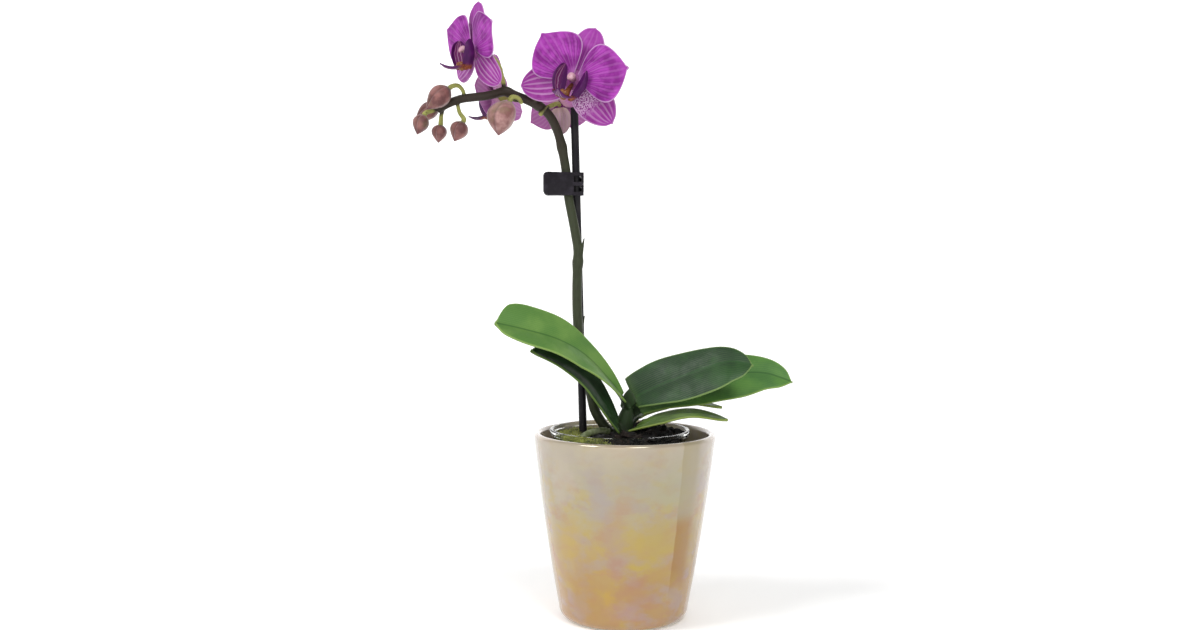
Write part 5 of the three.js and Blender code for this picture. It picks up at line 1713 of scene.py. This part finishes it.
@dataclass
class FlowerSpike(Assembly):
    """The arched spike with its bracts and every stalk, grown as one."""

    buds: Buds
    blooms: Blooms
    base_radius: float = 2.5
    tip_radius: float = 2.05
    path: tuple[tuple[float, float, float], ...] = (
        (-3.6, 4.6, 88.4), (-8.2, 5.4, 92), (-14.4, 5.2, 101), (-17, 4.4, 111), (-18.9, 3.6, 120),
        (-21.6, 2.6, 131), (-23.3, 2, 143), (-24, 1.5, 158), (-23.9, 1.3, 171), (-23.6, 1.4, 181),
        (-25, 2, 190), (-27, 2.9, 200), (-28.4, 4, 207), (-29, 4.6, 214), (-30.6, 5.2, 225),
        (-33, 5, 236.3), (-36, 4.6, 244), (-39.4, 4, 248.9), (-43.8, 3, 252.2), (-49.5, 1.6, 254.8),
        (-55.8, 0.6, 257.2), (-59.6, 0.2, 258.6), (-64, 0, 257.4), (-69.7, 0, 256.2), (-75, 0, 255.6),
        (-81.6, 0, 254.6), (-87.4, 0, 252.4), (-92.2, 0, 249.8),
    )
    joints: tuple[float, ...] = (0.23, 0.41, 0.665, 0.77, 0.845)
    young_heights: tuple[float, float] = (215.0, 235.0)
    bracts: tuple[tuple[tuple[float, float, float], tuple[float, float, float]], ...] = (
        ((-22.6, 3.4, 137), (-20.3, 5.6, 149)), ((-22.4, 1, 178.5), (-20.6, -0.6, 187.5)),
        ((-42.5, 1.6, 247.8), (-38.8, 0.8, 251.8)), ((-52.6, 0.8, 254.4), (-58.2, -0.8, 254.2)),
        ((-60.5, 0.4, 258.2), (-64, 0.8, 260)),
    )

    def radius(self, u: np.ndarray) -> np.ndarray:
        """Radius at a share of the spike's length: it narrows, and swells at its joints."""
        swell = sum(0.55 * np.exp(-(((u - joint) / 0.012) ** 2)) for joint in self.joints)
        return lerp(self.base_radius, self.tip_radius, u**1.6) + swell * (1 - 0.4 * u)

    def bract(self, foot: tuple[float, float, float], tip: tuple[float, float, float]) -> Shape:
        """Small pointed scale at a joint."""
        path = Path([foot, lerp(np.array(foot), np.array(tip), 0.5), tip])
        return tube(path, lambda u: 1.3 * (1 - u * 0.75), 12, 12)

    def build(self) -> None:
        """Grows stem, bracts and stalks together and marks the young growth."""
        main = Path(self.path)
        stalks = [holder.pedicel() for holder in (*self.buds.buds.values(), *self.blooms.blooms)]
        bracts = [self.bract(*ends) for ends in self.bracts]
        skin = fused([tube(main, self.radius, 28, 300), *stalks, *bracts], 0.3, 4)
        last = 599
        centre = main.point(np.linspace(0, 1, last + 1))
        tree = KDTree(len(centre))
        for number, point in enumerate(centre):
            tree.insert(point, number)
        tree.balance()
        found = [tree.find(corner)[1:] for corner in skin.corners]
        share = np.array([number for number, _ in found]) / last
        gap = np.array([distance for _, distance in found]) - self.radius(share)
        skin.values["young"] = smooth(0.4, 2.2, gap) * smooth(*self.young_heights, skin.corners[:, 2])
        self.dress(skin.object("flower_spike_skin"), [Finishes.stem], Slot.STEM, ["flower_spike"])


@dataclass
class Stake(Assembly):
    """Plastic stake with a rounded top."""

    radius: float = 1.95
    bottom: tuple[float, float, float] = (-19.2, 8.4, 46)
    top: tuple[float, float, float] = (-26, 6.2, 252)

    def build(self) -> None:
        """Makes the stake."""
        low, high = np.array(self.bottom), np.array(self.top)
        path = Path([low, lerp(low, high, 0.5), high - unit(high - low) * self.radius * 0.6])
        shape = tube(path, lambda u: np.full_like(u, self.radius), 32, 60)
        obj = shape.object("support_stake_moulded")
        self.dress(obj, [Finishes.stake], Slot.STAKE_PLASTIC, ["support_stake"])


@dataclass
class SpikeClip(Assembly):
    """Sprung clip: two jaws with interlaced fingers, their pin and the torsion spring between them."""

    hinge: tuple[float, float] = (-34.289, 4.074)
    height: float = 214.0
    turn: float = 10.0
    edge: float = 0.22
    crease: float = 35.0
    wire: float = 0.22
    coil_radius: float = 1.72
    coil_height: float = 1.9
    coil_turns: float = 4.25

    def rounded(self, node: str, name: str, body: Body = Body.ROOT) -> None:
        """Stands in for a CAD node with the same form, its edges rounded as moulding leaves them."""
        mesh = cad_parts[node].data.copy()
        mesh.materials.clear()
        obj = bpy.data.objects.new(name, mesh)
        bpy.context.scene.collection.objects.link(obj)
        weld = obj.modifiers.new("weld", "WELD")
        weld.merge_threshold = 0.002 * MM
        flat = obj.modifiers.new("flatten", "DECIMATE")
        flat.decimate_type, flat.angle_limit = "DISSOLVE", math.radians(1)
        bevel = obj.modifiers.new("mould edges", "BEVEL")
        bevel.width, bevel.segments, bevel.angle_limit = self.edge * MM, 2, math.radians(self.crease)
        bevel.use_clamp_overlap = True
        applied(obj)
        obj.data.polygons.foreach_set("use_smooth", [True] * len(obj.data.polygons))
        obj.data.set_sharp_from_angle(angle=math.radians(self.crease))
        self.dress(obj, [Finishes.clip], Slot.CLIP_PLASTIC, [node], body)

    def placed(self, points: Sequence[tuple[float, float, float]]) -> list[np.ndarray]:
        """Points of the clip's own frame in the object's."""
        a = math.radians(self.turn)
        spin = np.array([[math.cos(a), -math.sin(a), 0], [math.sin(a), math.cos(a), 0], [0, 0, 1]])
        return [spin @ np.array(p, float) + [*self.hinge, self.height] for p in points]

    def coil_tree(self) -> bpy.types.NodeTree:
        """Tree that winds a wire into a coil at a place."""
        tree, given, end = node_tree("spring coil", {
            "Turns": "Float", "Radius": "Float", "Height": "Float", "Wire radius": "Float", "Place": "Vector",
        })
        spiral = tree.add("CurveSpiral", {
            "Resolution": 36, "Rotations": given["Turns"], "Start Radius": given["Radius"],
            "End Radius": given["Radius"], "Height": given["Height"],
        })
        wire = tree.add("CurvePrimitiveCircle", {"Resolution": 12, "Radius": given["Wire radius"]})
        coil = tree.add("CurveToMesh", {"Curve": spiral, "Profile Curve": wire, "Fill Caps": True})
        placed = tree.add("Transform", {"Geometry": coil, "Translation": given["Place"]})
        end(tree.add("RealizeInstances", {"Geometry": placed}))
        return tree.tree

    def spring(self) -> None:
        """Winds the coil and lays a leg on each jaw."""
        low = self.height - self.coil_height / 2
        coil = scatter(turned([(0.1, 0), (0.1, 0.1)], 4).object("clip_spring_coil"), self.coil_tree(), {
            "Turns": self.coil_turns, "Radius": self.coil_radius * MM, "Height": self.coil_height * MM,
            "Wire radius": self.wire * MM, "Place": tuple(x * MM for x in (*self.hinge, low)),
            "Finish": Finishes.steel.material,
        })
        self.dress(coil, [], Slot.SPRING_STEEL, ["clip_spring"])
        legs = {
            "clip_spring_rear_leg": (
                [(0.4, 1.7, 0.7), (-1.2, 2.3, 0.6), (-3, 3.4, 0.3), (-5.2, 4.7, 0)], Body.ROOT,
            ),
            "clip_spring_front_leg": (
                [(0.4, -1.7, -0.7), (-1.2, -2.3, -0.6), (-3, -3.4, -0.3), (-5.2, -4.7, 0)], Body.CLIP_JAW,
            ),
        }
        for name, (points, body) in legs.items():
            leg = tube(Path(self.placed(points)), lambda u: np.full_like(u, self.wire), 12, 24)
            self.dress(leg.object(name), [Finishes.steel], Slot.SPRING_STEEL, [], body)

    def build(self) -> None:
        """Makes the jaws, the pin and the spring."""
        self.rounded("clip_front_jaw", "clip_front_jaw_moulded", Body.CLIP_JAW)
        self.rounded("clip_rear_jaw", "clip_rear_jaw_moulded")
        self.rounded("clip_hinge_pin", "clip_hinge_pin_moulded")
        self.spring()


@dataclass(frozen=True)
class Softbox:
    """A soft light far off: bearing from the front, height and apparent width in degrees, and power."""

    bearing: float
    height: float
    width: float
    power: float


@dataclass
class Studio:
    """Camera, white paper sweep and soft lights; lengths here are metres."""

    eye: tuple[float, float, float] = (-0.0126, -0.640, 0.1855)
    pitch: float = 3.2
    roll: float = 0.4
    lens: float = 39.08
    sensor: float = 36.0
    softboxes: tuple[Softbox, ...] = (
        Softbox(-59, 50, 20, 1.3), Softbox(21, 50, 20, 1.05), Softbox(-10, 20, 40, 0.45),
    )
    horizon: float = 0.85
    zenith: float = 0.22
    # The paper: where its floor ends, the radius it curves up with, how far it reaches and its height
    floor_end: float = 3.0
    bend: float = 1.5
    reach: float = 6.0
    wall_top: float = 5.0

    def camera(self) -> None:
        """Makes the camera at the photograph's viewing angle."""
        data = bpy.data.cameras.new("camera")
        data.lens, data.sensor_width, data.clip_start = self.lens, self.sensor, 0.01
        pitch, roll = math.radians(self.pitch), math.radians(self.roll)
        forward = np.array([0, math.cos(pitch), -math.sin(pitch)])
        level, upright = np.array([1.0, 0, 0]), np.array([0, math.sin(pitch), math.cos(pitch)])
        right = level * math.cos(roll) + upright * math.sin(roll)
        up = upright * math.cos(roll) - level * math.sin(roll)
        turn = Matrix(np.array([right, up, -forward]).T.tolist()).to_4x4()
        obj = bpy.data.objects.new("camera", data)
        bpy.context.scene.collection.objects.link(obj)
        obj.matrix_world = Matrix.Translation(self.eye) @ turn
        bpy.context.scene.camera = obj
        bpy.context.scene.view_settings.view_transform = "Standard"

    def lights(self) -> None:
        """Makes the softboxes and the room, which is pale round the paper and dim overhead."""
        for number, box in enumerate(self.softboxes):
            data = bpy.data.lights.new(f"softbox_{number + 1}", "SUN")
            data.angle, data.energy = math.radians(box.width), box.power
            obj = bpy.data.objects.new(data.name, data)
            bpy.context.scene.collection.objects.link(obj)
            obj.rotation_euler = (math.radians(90 - box.height), 0, math.radians(box.bearing))
        world = bpy.data.worlds.new("white room")
        bpy.context.scene.world = world
        world.use_nodes = True
        tree = Tree(world.node_tree, "ShaderNode")
        rise = tree.add("SeparateXYZ", {0: tree.add("TexCoord", out="Generated")}).node.outputs[2]
        power = tree.fade(rise, 0.1, 0.7, (self.horizon, self.zenith))
        background = world.node_tree.nodes["Background"]
        background.inputs["Color"].default_value = linear("#ffffff")
        world.node_tree.links.new(power, background.inputs["Strength"])

    def sweep(self) -> None:
        """Makes the paper: a floor that curves up into a wall far behind."""
        floor = [(-self.reach, 0.0), *[(y, 0.0) for y in np.linspace(-4, self.floor_end, 8)]]
        bend = [
            (self.floor_end + self.bend * math.sin(a), self.bend - self.bend * math.cos(a))
            for a in np.linspace(0.15, math.pi / 2, 10)
        ]
        line = np.array([*floor, *bend, (self.floor_end + self.bend, self.wall_top)]) / MM
        left, right = -self.reach / MM, self.reach / MM
        corners = [(x, y, z - 0.05) for y, z in line for x in (left, right)]
        faces = [(2 * i, 2 * i + 1, 2 * i + 3, 2 * i + 2) for i in range(len(line) - 1)]
        paper = Shape(np.array(corners), faces).object("studio_paper")
        paper.data.materials.append(Finishes.paper.material)


def main() -> None:
    """Builds the studio and the sub-assemblies in order."""
    logging.basicConfig(level=logging.INFO, format="%(name)s: %(message)s")
    studio = Studio()
    studio.camera()
    studio.lights()
    studio.sweep()
    nursery = NurseryPot()
    bed = BarkBed(nursery)
    buds, blooms = Buds(), Blooms()
    assemblies: list[Assembly] = [
        CoverPot(), nursery, bed, MossCushion(bed), AerialRoots(), Foliage(), buds, blooms,
        FlowerSpike(buds, blooms), Stake(), SpikeClip(),
    ]
    for assembly in assemblies:
        assembly.build()
        LOG.info("%s is finished", type(assembly).__name__)
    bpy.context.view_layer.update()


if __name__ == "__main__":
    main()
